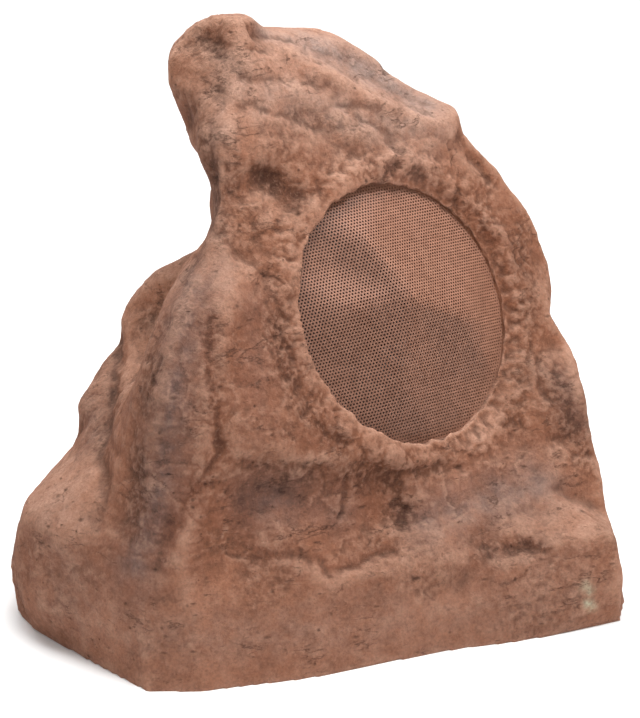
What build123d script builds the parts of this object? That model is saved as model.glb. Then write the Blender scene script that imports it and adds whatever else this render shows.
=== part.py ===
from build123d import *
import os
from math import cos, radians, sin

os.makedirs("parts", exist_ok=True)

# Wall of the moulded rock; width along X, depth along Y, front towards -Y, standing on Z = 0
wall = 8.0

# Leaning front face that carries the speaker: centre of the opening and the way it faces
face_x = 50.0
face_y = -40.0
face_z = 194.0
face_yaw = 11.4
face_pitch = 24.0

# Underside: recessed base plate on a shelf inside the rim
rim_width = 12.0
base_recess = 9.0
base_thickness = 4.0
base_gasket_thickness = 2.0
base_clearance = 0.4
shelf_width = 12.0
shelf_thickness = 12.0
base_screw_count = 8
screw_radius = 2.0
screw_clearance = 0.2
screw_head_radius = 3.5
screw_head_height = 2.5
screw_head_edge = 0.8
base_screw_length = 16.0
screw_tip_gap = 0.5

# Speaker opening, depths measured back from the face plane
grille_radius = 83.0
grille_clearance = 0.4
grille_seat_depth = 8.0
driver_radius = 78.0
driver_clearance = 0.5
driver_seat_depth = 22.0
cutout_radius = 69.0
baffle_depth = 34.0
baffle_wall = 9.0
lip_height = 3.5
lip_foot = 12.0
lip_radii = (95, 99, 92, 97, 103, 96, 91, 95, 100, 94, 90, 96, 101, 93, 97, 92, 99, 94, 96, 91)

# Grille: sheet pressed into folds round a peak, as angle, distance from the centre and height
sheet = 1.2
grille_flange = 7.0
grille_peak = (2.0, 8.0, 17.0)
grille_folds = [
    (108.0, 52.0, 10.0),
    (52.0, 50.0, 5.0),
    (-14.0, 44.0, 13.0),
    (-66.0, 52.0, 5.0),
    (-112.0, 48.0, 9.0),
    (-158.0, 54.0, 3.5),
    (170.0, 46.0, 9.5),
    (140.0, 56.0, 3.5),
]
grille_corner_radius = 80.0
grille_hole_radius = 2.6
grille_hole_pitch = 13.0
grille_hole_rings = 5
grille_holes_per_ring = 6

# Driver, heights measured outward from its seat in the shell
driver_gasket_thickness = 2.0
flange_thickness = 3.0
flange_inner_radius = 66.0
basket_depth = 46.0
basket_metal = 2.0
basket_throat_radius = 68.4
basket_step_radius = 41.0
basket_step_height = -31.0
basket_foot_radius = 37.0
basket_bore_radius = 17.0
basket_spokes = 6
basket_spoke_width = 14.0
window_inner_radius = 45.0
window_outer_radius = 61.0
driver_screw_count = 6
driver_screw_circle = 74.0
driver_screw_length = 14.0
surround_roll_radius = 5.0
surround_outer_radius = 67.5
surround_thickness = 0.9
surround_lip = 2.0
cone_thickness = 1.2
cone_neck_height = -22.0
cone_bow = 3.0
coil_radius = 12.9
former_thickness = 0.5
former_length = 34.0
winding_thickness = 0.8
winding_length = 10.0
winding_height = -53.0
former_tail = 1.0
pole_radius = 12.3
pole_bore_radius = 3.0
magnetic_gap_radius = 15.2
top_plate_radius = 40.0
top_plate_thickness = 6.0
ferrite_radius = 45.0
ferrite_bore_radius = 22.0
ferrite_thickness = 16.0
pole_plate_radius = 42.0
pole_plate_thickness = 6.0
spider_radius = 39.0
spider_lip = 4.0
spider_thickness = 0.8
spider_waves = 2
spider_wave_height = 1.4
tweeter_post_radius = 4.0
tweeter_post_bore = 2.0
tweeter_seat_height = -4.0
tweeter_radius = 17.0
tweeter_height = 10.0
tweeter_wall = 1.5
tweeter_well = 3.0
dome_radius = 11.0
dome_rise = 4.5
dome_thickness = 0.6
dome_lip = 2.0
dome_clearance = 0.3
tag_tab_width = 20.0
tag_tab_reach = 52.0
tag_strip_height = 8.0
tag_strip_thickness = 3.0
tag_spacing = 10.0
tag_width = 4.0
tag_length = 9.0
tag_thickness = 0.8

# Crossover board on the base plate
board_x = -30.0
board_y = 46.0
board_length = 112.0
board_width = 72.0
board_thickness = 1.6
board_corner = 4.0
spacer_height = 8.0
spacer_radius = 3.5
board_hole_margin = 6.0
board_hole_pitch_x = board_length - 2 * board_hole_margin
board_hole_pitch_y = board_width - 2 * board_hole_margin
board_screw_radius = 1.5
board_screw_bite = 3.0
board_screw_head_radius = 2.8
board_screw_head_height = 1.8
crossover_coil_place = (-30.0, 10.0)
crossover_coil_radius = 18.0
crossover_coil_bore = 8.0
crossover_coil_height = 22.0
crossover_coil_edge = 2.0
capacitor_places = [(8.0, 18.0), (32.0, 18.0)]
capacitor_radius = 8.0
capacitor_height = 28.0
capacitor_edge = 1.5
resistor_place = (-30.0, -22.0)
resistor_size = (26.0, 9.0, 9.0)
resistor_edge = 0.6
terminal_place = (28.0, -24.0)
terminal_size = (20.0, 12.0, 12.0)
terminal_hole_radius = 2.0
terminal_pitch = 9.0

# Cable entry through the base plate and out under the back of the rim
inlet_x = 72.0
inlet_y = 80.0
inlet_radius = 3.5
grommet_radius = 6.0
grommet_flange_radius = 9.0
grommet_flange_thickness = 2.0
notch_width = 12.0


def facing(yaw, pitch):
    """Unit vector turned by yaw from the front (-Y) towards +X and raised by pitch."""
    level = cos(radians(pitch))
    return Vector(sin(radians(yaw)) * level, -cos(radians(yaw)) * level, sin(radians(pitch)))


face_plane = Plane(
    origin=(face_x, face_y, face_z),
    x_dir=(cos(radians(face_yaw)), sin(radians(face_yaw)), 0),
    z_dir=facing(face_yaw, face_pitch),
)
driver_plane = face_plane.offset(-driver_seat_depth)
speaker_axis = face_plane.z_dir

# Form of the rock: level rings of height, centre x, centre y and radii at even steps round from +X
rock_rings = [
    (0.0, 2.0, 1.0, (
        174, 178, 183, 185, 181, 171, 155, 143, 136, 134, 136, 143, 155, 166, 173, 179, 184, 178,
        170, 167, 169, 176, 161, 143, 133, 125, 120, 118, 121, 128, 146, 170, 202, 204, 188, 177,
    )),
    (30.0, -5.0, 2.0, (
        176, 180, 185, 185, 179, 167, 153, 141, 134, 132, 134, 140, 149, 158, 165, 174, 180, 177,
        174, 165, 164, 165, 155, 137, 125, 119, 114, 114, 118, 127, 143, 169, 210, 204, 187, 180,
    )),
    (56.0, -5.0, 8.0, (
        171, 174, 178, 179, 171, 156, 142, 133, 128, 124, 123, 128, 136, 145, 155, 170, 173, 177,
        174, 166, 163, 161, 156, 136, 126, 120, 115, 113, 118, 128, 135, 163, 207, 202, 189, 177,
    )),
    (80.0, -1.0, 20.0, (
        161, 164, 167, 164, 153, 138, 127, 120, 116, 112, 110, 113, 120, 128, 131, 138, 156, 169,
        178, 175, 167, 165, 166, 138, 133, 122, 114, 108, 108, 120, 128, 140, 162, 200, 191, 176,
    )),
    (104.0, 9.0, 24.0, (
        152, 154, 155, 152, 141, 127, 117, 113, 110, 108, 105, 106, 113, 122, 131, 137, 141, 145,
        155, 161, 165, 170, 170, 138, 127, 117, 109, 104, 110, 111, 116, 129, 144, 187, 181, 173,
    )),
    (128.0, 17.0, 24.0, (
        144, 145, 147, 146, 138, 126, 117, 112, 110, 108, 106, 106, 112, 125, 141, 143, 147, 137,
        137, 150, 165, 177, 168, 140, 128, 117, 105, 100, 98, 99, 103, 111, 125, 176, 172, 164,
    )),
    (152.0, 16.0, 23.0, (
        145, 145, 146, 145, 137, 126, 117, 112, 109, 106, 104, 105, 110, 119, 126, 119, 111, 108,
        118, 140, 160, 172, 165, 138, 119, 101, 93, 88, 86, 87, 91, 98, 111, 131, 168, 157,
    )),
    (176.0, 18.0, 23.0, (
        161, 142, 142, 138, 130, 119, 111, 108, 105, 102, 100, 99, 109, 127, 122, 101, 89, 86,
        101, 129, 154, 169, 157, 125, 100, 88, 81, 77, 75, 76, 79, 86, 96, 114, 152, 163,
    )),
    (200.0, 22.0, 26.0, (
        143, 136, 133, 128, 120, 110, 102, 98, 96, 94, 93, 92, 94, 102, 104, 86, 75, 75,
        91, 120, 145, 162, 147, 107, 89, 78, 72, 68, 67, 67, 70, 76, 85, 101, 129, 159,
    )),
    (222.0, 26.0, 30.0, (
        134, 125, 122, 118, 111, 102, 94, 89, 87, 85, 84, 82, 77, 69, 66, 67, 65, 66,
        80, 107, 134, 152, 133, 97, 80, 70, 64, 61, 60, 61, 63, 68, 77, 91, 116, 149,
    )),
    (242.0, 33.0, 32.0, (
        116, 108, 105, 104, 100, 94, 86, 80, 78, 77, 76, 77, 79, 80, 76, 73, 67, 66,
        71, 85, 111, 134, 108, 83, 69, 61, 55, 53, 52, 52, 54, 59, 66, 78, 100, 130,
    )),
    (262.0, 34.0, 36.0, (
        103, 97, 95, 94, 91, 84, 77, 72, 69, 67, 67, 69, 70, 71, 71, 64, 60, 60,
        66, 79, 101, 123, 99, 75, 62, 55, 50, 47, 46, 47, 49, 53, 60, 71, 93, 116,
    )),
    (280.0, 32.0, 39.0, (
        99, 94, 92, 89, 84, 77, 70, 65, 61, 60, 61, 62, 64, 64, 62, 61, 61, 63,
        69, 82, 99, 113, 78, 70, 59, 49, 45, 43, 42, 42, 44, 48, 54, 67, 82, 102,
    )),
    (296.0, 29.0, 41.0, (
        104, 92, 84, 80, 76, 70, 64, 59, 56, 55, 56, 58, 62, 64, 65, 65, 70, 81,
        86, 92, 102, 106, 82, 61, 51, 44, 40, 39, 39, 40, 41, 43, 46, 58, 75, 95,
    )),
    (312.0, 21.0, 43.0, (
        83, 78, 80, 74, 68, 64, 59, 55, 53, 52, 53, 56, 60, 63, 69, 77, 77, 76,
        74, 81, 90, 92, 73, 55, 41, 37, 34, 33, 33, 34, 33, 35, 41, 50, 56, 62,
    )),
    (330.0, 6.0, 49.0, (
        75, 81, 80, 76, 70, 60, 50, 47, 45, 44, 44, 46, 49, 53, 58, 62, 62, 69,
        69, 67, 66, 65, 66, 55, 44, 38, 35, 33, 30, 29, 30, 33, 38, 42, 44, 52,
    )),
    (346.0, -3.0, 52.0, (
        52, 64, 70, 74, 70, 56, 45, 36, 35, 34, 35, 37, 44, 57, 56, 55, 56, 58,
        52, 48, 47, 45, 44, 43, 40, 33, 26, 23, 21, 21, 21, 22, 24, 24, 27, 33,
    )),
    (359.0, -16.0, 52.0, (
        18, 20, 22, 21, 16, 18, 20, 20, 20, 21, 24, 32, 33, 32, 32, 32, 28, 22,
        19, 20, 21, 21, 22, 23, 23, 22, 19, 14, 11, 11, 11, 11, 11, 12, 14, 16,
    )),
    (370.0, -22.0, 49.0, (
        10, 10, 10, 10, 10, 10, 10, 10, 10, 10, 10, 10, 10, 10, 10, 10, 10, 10,
        10, 10, 10, 10, 10, 10, 10, 10, 10, 10, 10, 10, 10, 10, 10, 10, 10, 10,
    )),
]

# Crevices: both ends on the rock, the yaw and pitch that the rock faces there, width at the brim, depth
crevice_lift = 8.0
crevices = [
    ((-42, -8, 291), (-6, -21, 264), 6, 15, 40.0, 3.0),
    ((-40, 62, 358), (-34, 18, 345), -48, 40, 40.0, 2.0),
    ((120, 24, 290), (142, 8, 250), 25, 31, 30.0, 2.0),
    ((60, -108, 57), (116, -115, 53), -4, 37, 36.0, 2.5),
    ((-132, 14, 124), (-154, -38, 90), -83, 34, 40.0, 2.5),
    ((-84, -82, 118), (-36, -87, 104), -3, 14, 36.0, 2.5),
    ((-64, -97, 73), (20, -99, 65), -3, 28, 30.0, 1.5),
    ((-6, 4, 312), (32, 8, 302), 10, 28, 34.0, 2.5),
]

# Heights under the rock
base_top = base_recess + base_thickness
shelf_height = base_top + base_gasket_thickness
hollow_floor = shelf_height + shelf_thickness
mouth_inset = rim_width + shelf_width


def spread(x, y, height, radii):
    """Points at even steps round a centre, each at its own radius."""
    step = radians(360.0 / len(radii))
    return [Vector(x + r * cos(i * step), y + r * sin(i * step), height) for i, r in enumerate(radii)]


def ring(level, skin):
    """Points of one ring; for a hollow, the innermost within a skin above and below, drawn in."""
    height, x, y, radii = rock_rings[level]
    points = spread(x, y, height, radii)
    if skin == 0.0:
        return points
    if level == len(rock_rings) - 1:
        return spread(x, y, height - skin, [radius - skin for radius in radii])
    centre = Vector(x, y, height)
    inner = points
    for near_height, near_x, near_y, near_radii in rock_rings[max(level - 1, 0):level + 2]:
        share = min(skin / max(abs(near_height - height), skin), 1.0)
        near = spread(near_x, near_y, height, near_radii)
        between = [own * (1 - share) + other * share for own, other in zip(points, near)]
        inner = [min(pair, key=lambda point: (point - centre).length) for pair in zip(inner, between)]
    return [centre + (point - centre) * (1 - skin / (point - centre).length) for point in inner]


def ground_plan(inset):
    """Ground outline of the rock, drawn in by an inset."""
    with BuildSketch() as plan:
        with BuildLine():
            Polyline(*[(point.X, point.Y) for point in ring(0, 0.0)], close=True)
        make_face()
        offset(amount=-inset)
    return plan.sketch


def faceted(rings, guides):
    """Solid of triangular flats between rings of points, split across like the rings that guide it."""
    flats = [Face(Wire.make_polygon(rings[0])), Face(Wire.make_polygon(rings[-1]))]
    for low, high, guide_low, guide_high in zip(rings, rings[1:], guides, guides[1:]):
        for i in range(len(low)):
            j = i - 1
            if (guide_high[j] - guide_low[i]).length < (guide_high[i] - guide_low[j]).length:
                corners = [(low[i], high[j], low[j]), (low[i], high[i], high[j])]
            else:
                corners = [(low[i], high[i], low[j]), (low[j], high[i], high[j])]
            flats += [Face(Wire.make_polygon(corner)) for corner in corners]
    return Solid(Shell(flats))


def rock_form(skin=0.0):
    """The rock through its level rings, or the hollow inside it when a skin is left all round."""
    levels = range(len(rock_rings))
    return faceted([ring(level, skin) for level in levels], [ring(level, 0.0) for level in levels])


def raised_rim():
    """Uneven rim that stands up round the speaker opening."""
    outlines = []
    for rise, reach in [(-lip_foot, lip_foot), (lip_height, 0.0)]:
        outline = spread(0.0, 0.0, rise, [radius + reach for radius in lip_radii])
        outlines.append([face_plane.from_local_coords(point) for point in outline])
    return faceted(outlines, outlines)


def crevice(start, end, yaw, pitch, width, depth):
    """Pointed groove that opens outward, between two points of the rock's surface."""
    out = facing(yaw, pitch)
    tips = [Vector(*start), Vector(*end)]
    middle = (tips[0] + tips[1]) * 0.5
    side = out.cross(tips[1] - tips[0]).normalized() * (width / 2)
    brim = middle + out * crevice_lift
    girdle = [brim + side, brim - side, middle - out * depth]
    flats = [Face(Wire.make_polygon([tip, girdle[i - 1], girdle[i]])) for tip in tips for i in range(3)]
    return Solid(Shell(flats))


def save(piece, name):
    """Label a finished piece and write it out."""
    piece.part.label = name
    export_step(piece.part, f"parts/{name}.step")


grooves = [crevice(*values) for values in crevices]
rebate_plan = ground_plan(rim_width)
mouth_plan = ground_plan(mouth_inset)
base_plan = ground_plan(rim_width + base_clearance)
base_screw_wire = ground_plan(rim_width + shelf_width / 2).wire()
base_screw_points = [base_screw_wire.position_at(i / base_screw_count) for i in range(base_screw_count)]
baffle_radius = grille_radius + grille_clearance + baffle_wall
ground_back = max(point.Y for point in ring(0, 0.0))

# Hollow of the rock, kept clear of the baffle that holds the driver
with BuildPart() as cavity:
    add(rock_form(wall))
    split(bisect_by=Plane.XY.offset(hollow_floor), keep=Keep.TOP)
    with BuildSketch(face_plane.offset(-baffle_depth)):
        Circle(baffle_radius)
    extrude(amount=baffle_depth, mode=Mode.SUBTRACT)

# Moulded rock housing with its stepped speaker opening and open underside
with BuildPart() as rock_shell:
    add(rock_form())
    add(grooves, mode=Mode.SUBTRACT)
    add(raised_rim())
    add(cavity.part, mode=Mode.SUBTRACT)
    for radius, depth in [
        (grille_radius + grille_clearance, grille_seat_depth),
        (driver_radius + driver_clearance, driver_seat_depth),
        (cutout_radius, baffle_depth),
    ]:
        with BuildSketch(face_plane.offset(-depth)):
            Circle(radius)
        extrude(amount=depth + lip_height, mode=Mode.SUBTRACT)
    with BuildSketch(driver_plane):
        with PolarLocations(driver_screw_circle, driver_screw_count):
            Circle(screw_radius + screw_clearance)
    extrude(amount=driver_seat_depth - baffle_depth, mode=Mode.SUBTRACT)
    with BuildSketch():
        add(rebate_plan)
    extrude(amount=shelf_height, mode=Mode.SUBTRACT)
    with BuildSketch(Plane.XY.offset(shelf_height)):
        add(mouth_plan)
    extrude(amount=shelf_thickness, mode=Mode.SUBTRACT)
    with BuildSketch(Plane.XY.offset(base_recess)):
        with Locations(*base_screw_points):
            Circle(screw_radius + screw_clearance)
    extrude(amount=base_screw_length, mode=Mode.SUBTRACT)
    with BuildSketch():
        with Locations((inlet_x, ground_back)):
            Rectangle(notch_width, 2 * (rim_width + base_clearance))
    extrude(amount=base_recess, mode=Mode.SUBTRACT)

save(rock_shell, "rock_shell")

# Grille: flat flange on its seat and triangular flats between the peak, the folds and the flange
grille_plane = face_plane.offset(-grille_seat_depth)
fold_count = len(grille_folds)
fold_points = []
edge_points = []
for i, (angle, distance, height) in enumerate(grille_folds):
    turn = radians(angle)
    fold_points.append(grille_plane.from_local_coords((distance * cos(turn), distance * sin(turn), height)))
    next_angle = grille_folds[(i + 1) % fold_count][0]
    middle = angle - ((angle - next_angle) % 360) / 2
    for edge_angle in (angle, middle):
        edge_turn = radians(edge_angle)
        on_edge = (grille_corner_radius * cos(edge_turn), grille_corner_radius * sin(edge_turn), 0)
        edge_points.append(grille_plane.from_local_coords(on_edge))
peak_point = grille_plane.from_local_coords(grille_peak)
grille_flats = []
for i in range(fold_count):
    fold, next_fold = fold_points[i], fold_points[(i + 1) % fold_count]
    edge, middle_edge = edge_points[2 * i], edge_points[2 * i + 1]
    next_edge = edge_points[(2 * i + 2) % len(edge_points)]
    grille_flats.append((peak_point, next_fold, fold))
    grille_flats.append((fold, middle_edge, edge))
    grille_flats.append((fold, next_fold, middle_edge))
    grille_flats.append((next_fold, next_edge, middle_edge))

with BuildPart() as grille:
    with BuildSketch(grille_plane):
        Circle(grille_radius)
        Circle(grille_radius - grille_flange, mode=Mode.SUBTRACT)
    extrude(amount=sheet)
    for corner, second, third in grille_flats:
        flat = Plane(origin=corner, x_dir=second - corner, z_dir=(second - corner).cross(third - corner))
        with BuildSketch(flat):
            with BuildLine():
                Polyline((0, 0), flat.to_local_coords(second), flat.to_local_coords(third), close=True)
            make_face()
        extrude(amount=sheet, dir=speaker_axis)
    with BuildSketch(grille_plane):
        Circle(grille_hole_radius)
        for ring in range(1, grille_hole_rings + 1):
            with PolarLocations(ring * grille_hole_pitch, ring * grille_holes_per_ring):
                Circle(grille_hole_radius)
    extrude(amount=grille_peak[2] + 2 * sheet, mode=Mode.SUBTRACT)

save(grille, "grille")

# Driver on its seat: every turned piece is drawn as radius and height and revolved
section_plane = driver_plane * Plane.XZ
driver_axis = Axis(driver_plane.origin, speaker_axis)
flange_top = driver_gasket_thickness + flange_thickness
basket_back = driver_gasket_thickness - basket_depth
neck_radius = coil_radius + former_thickness
cone_radius = surround_outer_radius - 2 * surround_roll_radius
ferrite_front = basket_back - top_plate_thickness
pole_plate_front = ferrite_front - ferrite_thickness

with BuildPart() as driver_gasket:
    with BuildSketch(driver_plane):
        Circle(driver_radius)
        Circle(cutout_radius, mode=Mode.SUBTRACT)
        with PolarLocations(driver_screw_circle, driver_screw_count):
            Circle(screw_radius + screw_clearance, mode=Mode.SUBTRACT)
    extrude(amount=driver_gasket_thickness)

save(driver_gasket, "driver_gasket")

with BuildPart() as woofer_basket:
    with BuildSketch(section_plane):
        with BuildLine():
            Polyline(
                (flange_inner_radius, flange_top),
                (driver_radius, flange_top),
                (driver_radius, driver_gasket_thickness),
                (basket_throat_radius, driver_gasket_thickness),
                (basket_step_radius + basket_metal, basket_step_height - basket_metal),
                (basket_foot_radius, basket_step_height - basket_metal),
                (basket_foot_radius, basket_back),
                (basket_bore_radius, basket_back),
                (basket_bore_radius, basket_back + basket_metal),
                (basket_foot_radius - basket_metal, basket_back + basket_metal),
                (basket_foot_radius - basket_metal, basket_step_height),
                (basket_step_radius, basket_step_height),
                (flange_inner_radius, driver_gasket_thickness),
                close=True,
            )
        make_face()
    revolve(axis=driver_axis)
    with BuildSketch(driver_plane.offset(basket_step_height - basket_metal)):
        Circle(window_outer_radius)
        Circle(window_inner_radius, mode=Mode.SUBTRACT)
        with PolarLocations(window_outer_radius / 2, basket_spokes):
            Rectangle(window_outer_radius, basket_spoke_width, mode=Mode.SUBTRACT)
    extrude(amount=-basket_step_height, mode=Mode.SUBTRACT)
    with BuildSketch(driver_plane):
        with PolarLocations(driver_screw_circle, driver_screw_count):
            Circle(screw_radius + screw_clearance)
    extrude(amount=flange_top, mode=Mode.SUBTRACT)
    with BuildSketch(driver_plane.offset(basket_back)):
        with Locations((0, -(basket_foot_radius + tag_tab_reach) / 2)):
            Rectangle(tag_tab_width, tag_tab_reach - basket_foot_radius + 2 * basket_metal)
    extrude(amount=basket_metal)

save(woofer_basket, "woofer_basket")

with BuildPart() as woofer_surround:
    with BuildSketch(section_plane):
        with BuildLine():
            roll_centre = cone_radius + surround_roll_radius
            inner_lip = cone_radius - surround_lip
            outer_lip = surround_outer_radius + surround_lip
            skin_top = flange_top + surround_thickness
            crown = flange_top + surround_roll_radius
            Polyline((inner_lip, flange_top), (cone_radius, flange_top))
            ThreePointArc(
                (cone_radius, flange_top),
                (roll_centre, crown),
                (surround_outer_radius, flange_top),
            )
            Polyline(
                (surround_outer_radius, flange_top),
                (outer_lip, flange_top),
                (outer_lip, skin_top),
                (surround_outer_radius, skin_top),
            )
            ThreePointArc(
                (surround_outer_radius, skin_top),
                (roll_centre, crown + surround_thickness),
                (cone_radius, skin_top),
            )
            Polyline((cone_radius, skin_top), (inner_lip, skin_top), (inner_lip, flange_top))
        make_face()
    revolve(axis=driver_axis)

save(woofer_surround, "woofer_surround")

with BuildPart() as woofer_cone:
    with BuildSketch(section_plane):
        with BuildLine():
            edge_bottom = flange_top - cone_thickness
            halfway = (neck_radius + cone_radius) / 2
            sag = (cone_neck_height + edge_bottom) / 2 - cone_bow
            ThreePointArc((neck_radius, cone_neck_height), (halfway, sag), (cone_radius, edge_bottom))
            Line((cone_radius, edge_bottom), (cone_radius, flange_top))
            ThreePointArc(
                (cone_radius, flange_top),
                (halfway, sag + cone_thickness),
                (neck_radius, cone_neck_height + cone_thickness),
            )
            Line((neck_radius, cone_neck_height + cone_thickness), (neck_radius, cone_neck_height))
        make_face()
    revolve(axis=driver_axis)

save(woofer_cone, "woofer_cone")

with BuildPart() as voice_coil:
    with BuildSketch(driver_plane.offset(winding_height - former_tail)):
        Circle(neck_radius)
        Circle(coil_radius, mode=Mode.SUBTRACT)
    extrude(amount=former_length)
    with BuildSketch(driver_plane.offset(winding_height)):
        Circle(neck_radius + winding_thickness)
        Circle(neck_radius, mode=Mode.SUBTRACT)
    extrude(amount=winding_length)

save(voice_coil, "voice_coil")

with BuildPart() as woofer_spider:
    with BuildSketch(section_plane):
        with BuildLine():
            wave_end = spider_radius - spider_lip
            half_wave = (wave_end - neck_radius) / (2 * spider_waves)
            for level in (basket_step_height, basket_step_height + spider_thickness):
                for i in range(2 * spider_waves):
                    start = neck_radius + i * half_wave
                    swing = spider_wave_height if i % 2 else -spider_wave_height
                    ThreePointArc(
                        (start, level),
                        (start + half_wave / 2, level + swing),
                        (start + half_wave, level),
                    )
                Line((wave_end, level), (spider_radius, level))
            for radius in (neck_radius, spider_radius):
                Line((radius, basket_step_height), (radius, basket_step_height + spider_thickness))
        make_face()
    revolve(axis=driver_axis)

save(woofer_spider, "woofer_spider")

with BuildPart() as magnet_top_plate:
    with BuildSketch(driver_plane.offset(basket_back)):
        Circle(top_plate_radius)
        Circle(magnetic_gap_radius, mode=Mode.SUBTRACT)
    extrude(amount=-top_plate_thickness)

save(magnet_top_plate, "magnet_top_plate")

with BuildPart() as ferrite_magnet:
    with BuildSketch(driver_plane.offset(ferrite_front)):
        Circle(ferrite_radius)
        Circle(ferrite_bore_radius, mode=Mode.SUBTRACT)
    extrude(amount=-ferrite_thickness)

save(ferrite_magnet, "ferrite_magnet")

with BuildPart() as pole_plate:
    with BuildSketch(driver_plane.offset(pole_plate_front)):
        Circle(pole_plate_radius)
    extrude(amount=-pole_plate_thickness)
    with BuildSketch(driver_plane.offset(pole_plate_front)):
        Circle(pole_radius)
    extrude(amount=basket_back - pole_plate_front)
    with BuildSketch(driver_plane.offset(basket_back)):
        Circle(pole_bore_radius)
    extrude(amount=pole_plate_front - pole_plate_thickness - basket_back, mode=Mode.SUBTRACT)

save(pole_plate, "pole_plate")

with BuildPart() as tweeter_post:
    with BuildSketch(driver_plane.offset(basket_back)):
        Circle(tweeter_post_radius)
        Circle(tweeter_post_bore, mode=Mode.SUBTRACT)
    extrude(amount=tweeter_seat_height - basket_back)

save(tweeter_post, "tweeter_post")

tweeter_top = tweeter_seat_height + tweeter_height
dome_seat = tweeter_top - tweeter_wall

with BuildPart() as tweeter_housing:
    with BuildSketch(section_plane):
        with BuildLine():
            Polyline(
                (0, tweeter_seat_height),
                (tweeter_radius - tweeter_wall, tweeter_seat_height),
                (tweeter_radius, tweeter_seat_height + tweeter_wall),
                (tweeter_radius, tweeter_top - tweeter_wall),
                (tweeter_radius - tweeter_wall, tweeter_top),
                (dome_radius + dome_lip + dome_clearance, tweeter_top),
                (dome_radius + dome_lip + dome_clearance, dome_seat),
                (dome_radius - dome_lip, dome_seat),
                (dome_radius - dome_lip, dome_seat - tweeter_well),
                (0, dome_seat - tweeter_well),
                close=True,
            )
        make_face()
    revolve(axis=driver_axis)

save(tweeter_housing, "tweeter_housing")

with BuildPart() as tweeter_dome:
    with BuildSketch(section_plane):
        with BuildLine():
            lip_top = dome_seat + dome_thickness
            lip_radius = dome_radius + dome_lip
            inner_radius = dome_radius - dome_thickness
            dome_crown = lip_top + dome_rise
            TangentArc((0, dome_crown), (dome_radius, lip_top), tangent=(1, 0))
            Polyline(
                (dome_radius, lip_top),
                (lip_radius, lip_top),
                (lip_radius, dome_seat),
                (inner_radius, dome_seat),
            )
            TangentArc((0, dome_crown - dome_thickness), (inner_radius, dome_seat), tangent=(1, 0))
            Line((0, dome_crown - dome_thickness), (0, dome_crown))
        make_face()
    revolve(axis=driver_axis)

save(tweeter_dome, "tweeter_dome")

with BuildPart() as driver_screws:
    with BuildSketch(driver_plane.offset(flange_top)):
        with PolarLocations(driver_screw_circle, driver_screw_count):
            Circle(screw_radius)
    extrude(amount=-driver_screw_length)
    with BuildSketch(driver_plane.offset(flange_top)):
        with PolarLocations(driver_screw_circle, driver_screw_count):
            Circle(screw_head_radius)
    extrude(amount=screw_head_height)
    fillet(edges().filter_by(GeomType.CIRCLE).group_by(driver_axis)[-1], radius=screw_head_edge)

save(driver_screws, "driver_screws")

# Tag strip standing on the tab at the lower side of the basket
with BuildPart() as driver_terminals:
    strip_base = basket_back + basket_metal
    with BuildSketch(driver_plane.offset(strip_base)):
        with Locations((0, -tag_tab_reach + tag_strip_thickness / 2)):
            Rectangle(tag_tab_width, tag_strip_thickness)
    extrude(amount=tag_strip_height)
    with BuildSketch(driver_plane.offset(strip_base + tag_strip_height / 2)):
        with Locations((0, -tag_tab_reach - tag_length / 2)):
            with GridLocations(tag_spacing, 0, 2, 1):
                Rectangle(tag_width, tag_length)
    extrude(amount=tag_thickness)

save(driver_terminals, "driver_terminals")

# Base plate with its gasket, screws and cable grommet
with BuildPart() as base_plate:
    with BuildSketch(Plane.XY.offset(base_recess)):
        add(base_plan)
        with Locations(*base_screw_points):
            Circle(screw_radius + screw_clearance, mode=Mode.SUBTRACT)
        with Locations((inlet_x, inlet_y)):
            Circle(grommet_radius, mode=Mode.SUBTRACT)
    extrude(amount=base_thickness)
    with BuildSketch(Plane.XY.offset(base_top)):
        with Locations((board_x, board_y)):
            with GridLocations(board_hole_pitch_x, board_hole_pitch_y, 2, 2):
                Circle(board_screw_radius + screw_clearance)
    extrude(amount=-board_screw_bite, mode=Mode.SUBTRACT)

save(base_plate, "base_plate")

with BuildPart() as base_gasket:
    with BuildSketch(Plane.XY.offset(base_top)):
        add(base_plan)
        add(mouth_plan, mode=Mode.SUBTRACT)
        with Locations(*base_screw_points):
            Circle(screw_radius + screw_clearance, mode=Mode.SUBTRACT)
    extrude(amount=base_gasket_thickness)

save(base_gasket, "base_gasket")

with BuildPart() as base_screws:
    with BuildSketch(Plane.XY.offset(base_recess)):
        with Locations(*base_screw_points):
            Circle(screw_radius)
    extrude(amount=base_screw_length - screw_tip_gap)
    with BuildSketch(Plane.XY.offset(base_recess)):
        with Locations(*base_screw_points):
            Circle(screw_head_radius)
    extrude(amount=-screw_head_height)
    fillet(edges().filter_by(GeomType.CIRCLE).group_by(Axis.Z)[0], radius=screw_head_edge)

save(base_screws, "base_screws")

with BuildPart() as cable_grommet:
    grommet_plane = Plane.XY.offset(base_recess)
    with BuildSketch(grommet_plane):
        with Locations((inlet_x, inlet_y)):
            Circle(grommet_radius)
    extrude(amount=base_thickness)
    for level, height in ((base_recess, -grommet_flange_thickness), (base_top, grommet_flange_thickness)):
        with BuildSketch(Plane.XY.offset(level)):
            with Locations((inlet_x, inlet_y)):
                Circle(grommet_flange_radius)
        extrude(amount=height)
    with Locations((inlet_x, inlet_y, base_top + grommet_flange_thickness)):
        Hole(inlet_radius)

save(cable_grommet, "cable_grommet")

# Crossover board on spacers, with its parts standing on it
board_base = base_top + spacer_height
board_top = board_base + board_thickness

with BuildPart() as board_spacers:
    with BuildSketch(Plane.XY.offset(base_top)):
        with Locations((board_x, board_y)):
            with GridLocations(board_hole_pitch_x, board_hole_pitch_y, 2, 2):
                Circle(spacer_radius)
                Circle(board_screw_radius + screw_clearance, mode=Mode.SUBTRACT)
    extrude(amount=spacer_height)

save(board_spacers, "board_spacers")

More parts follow.
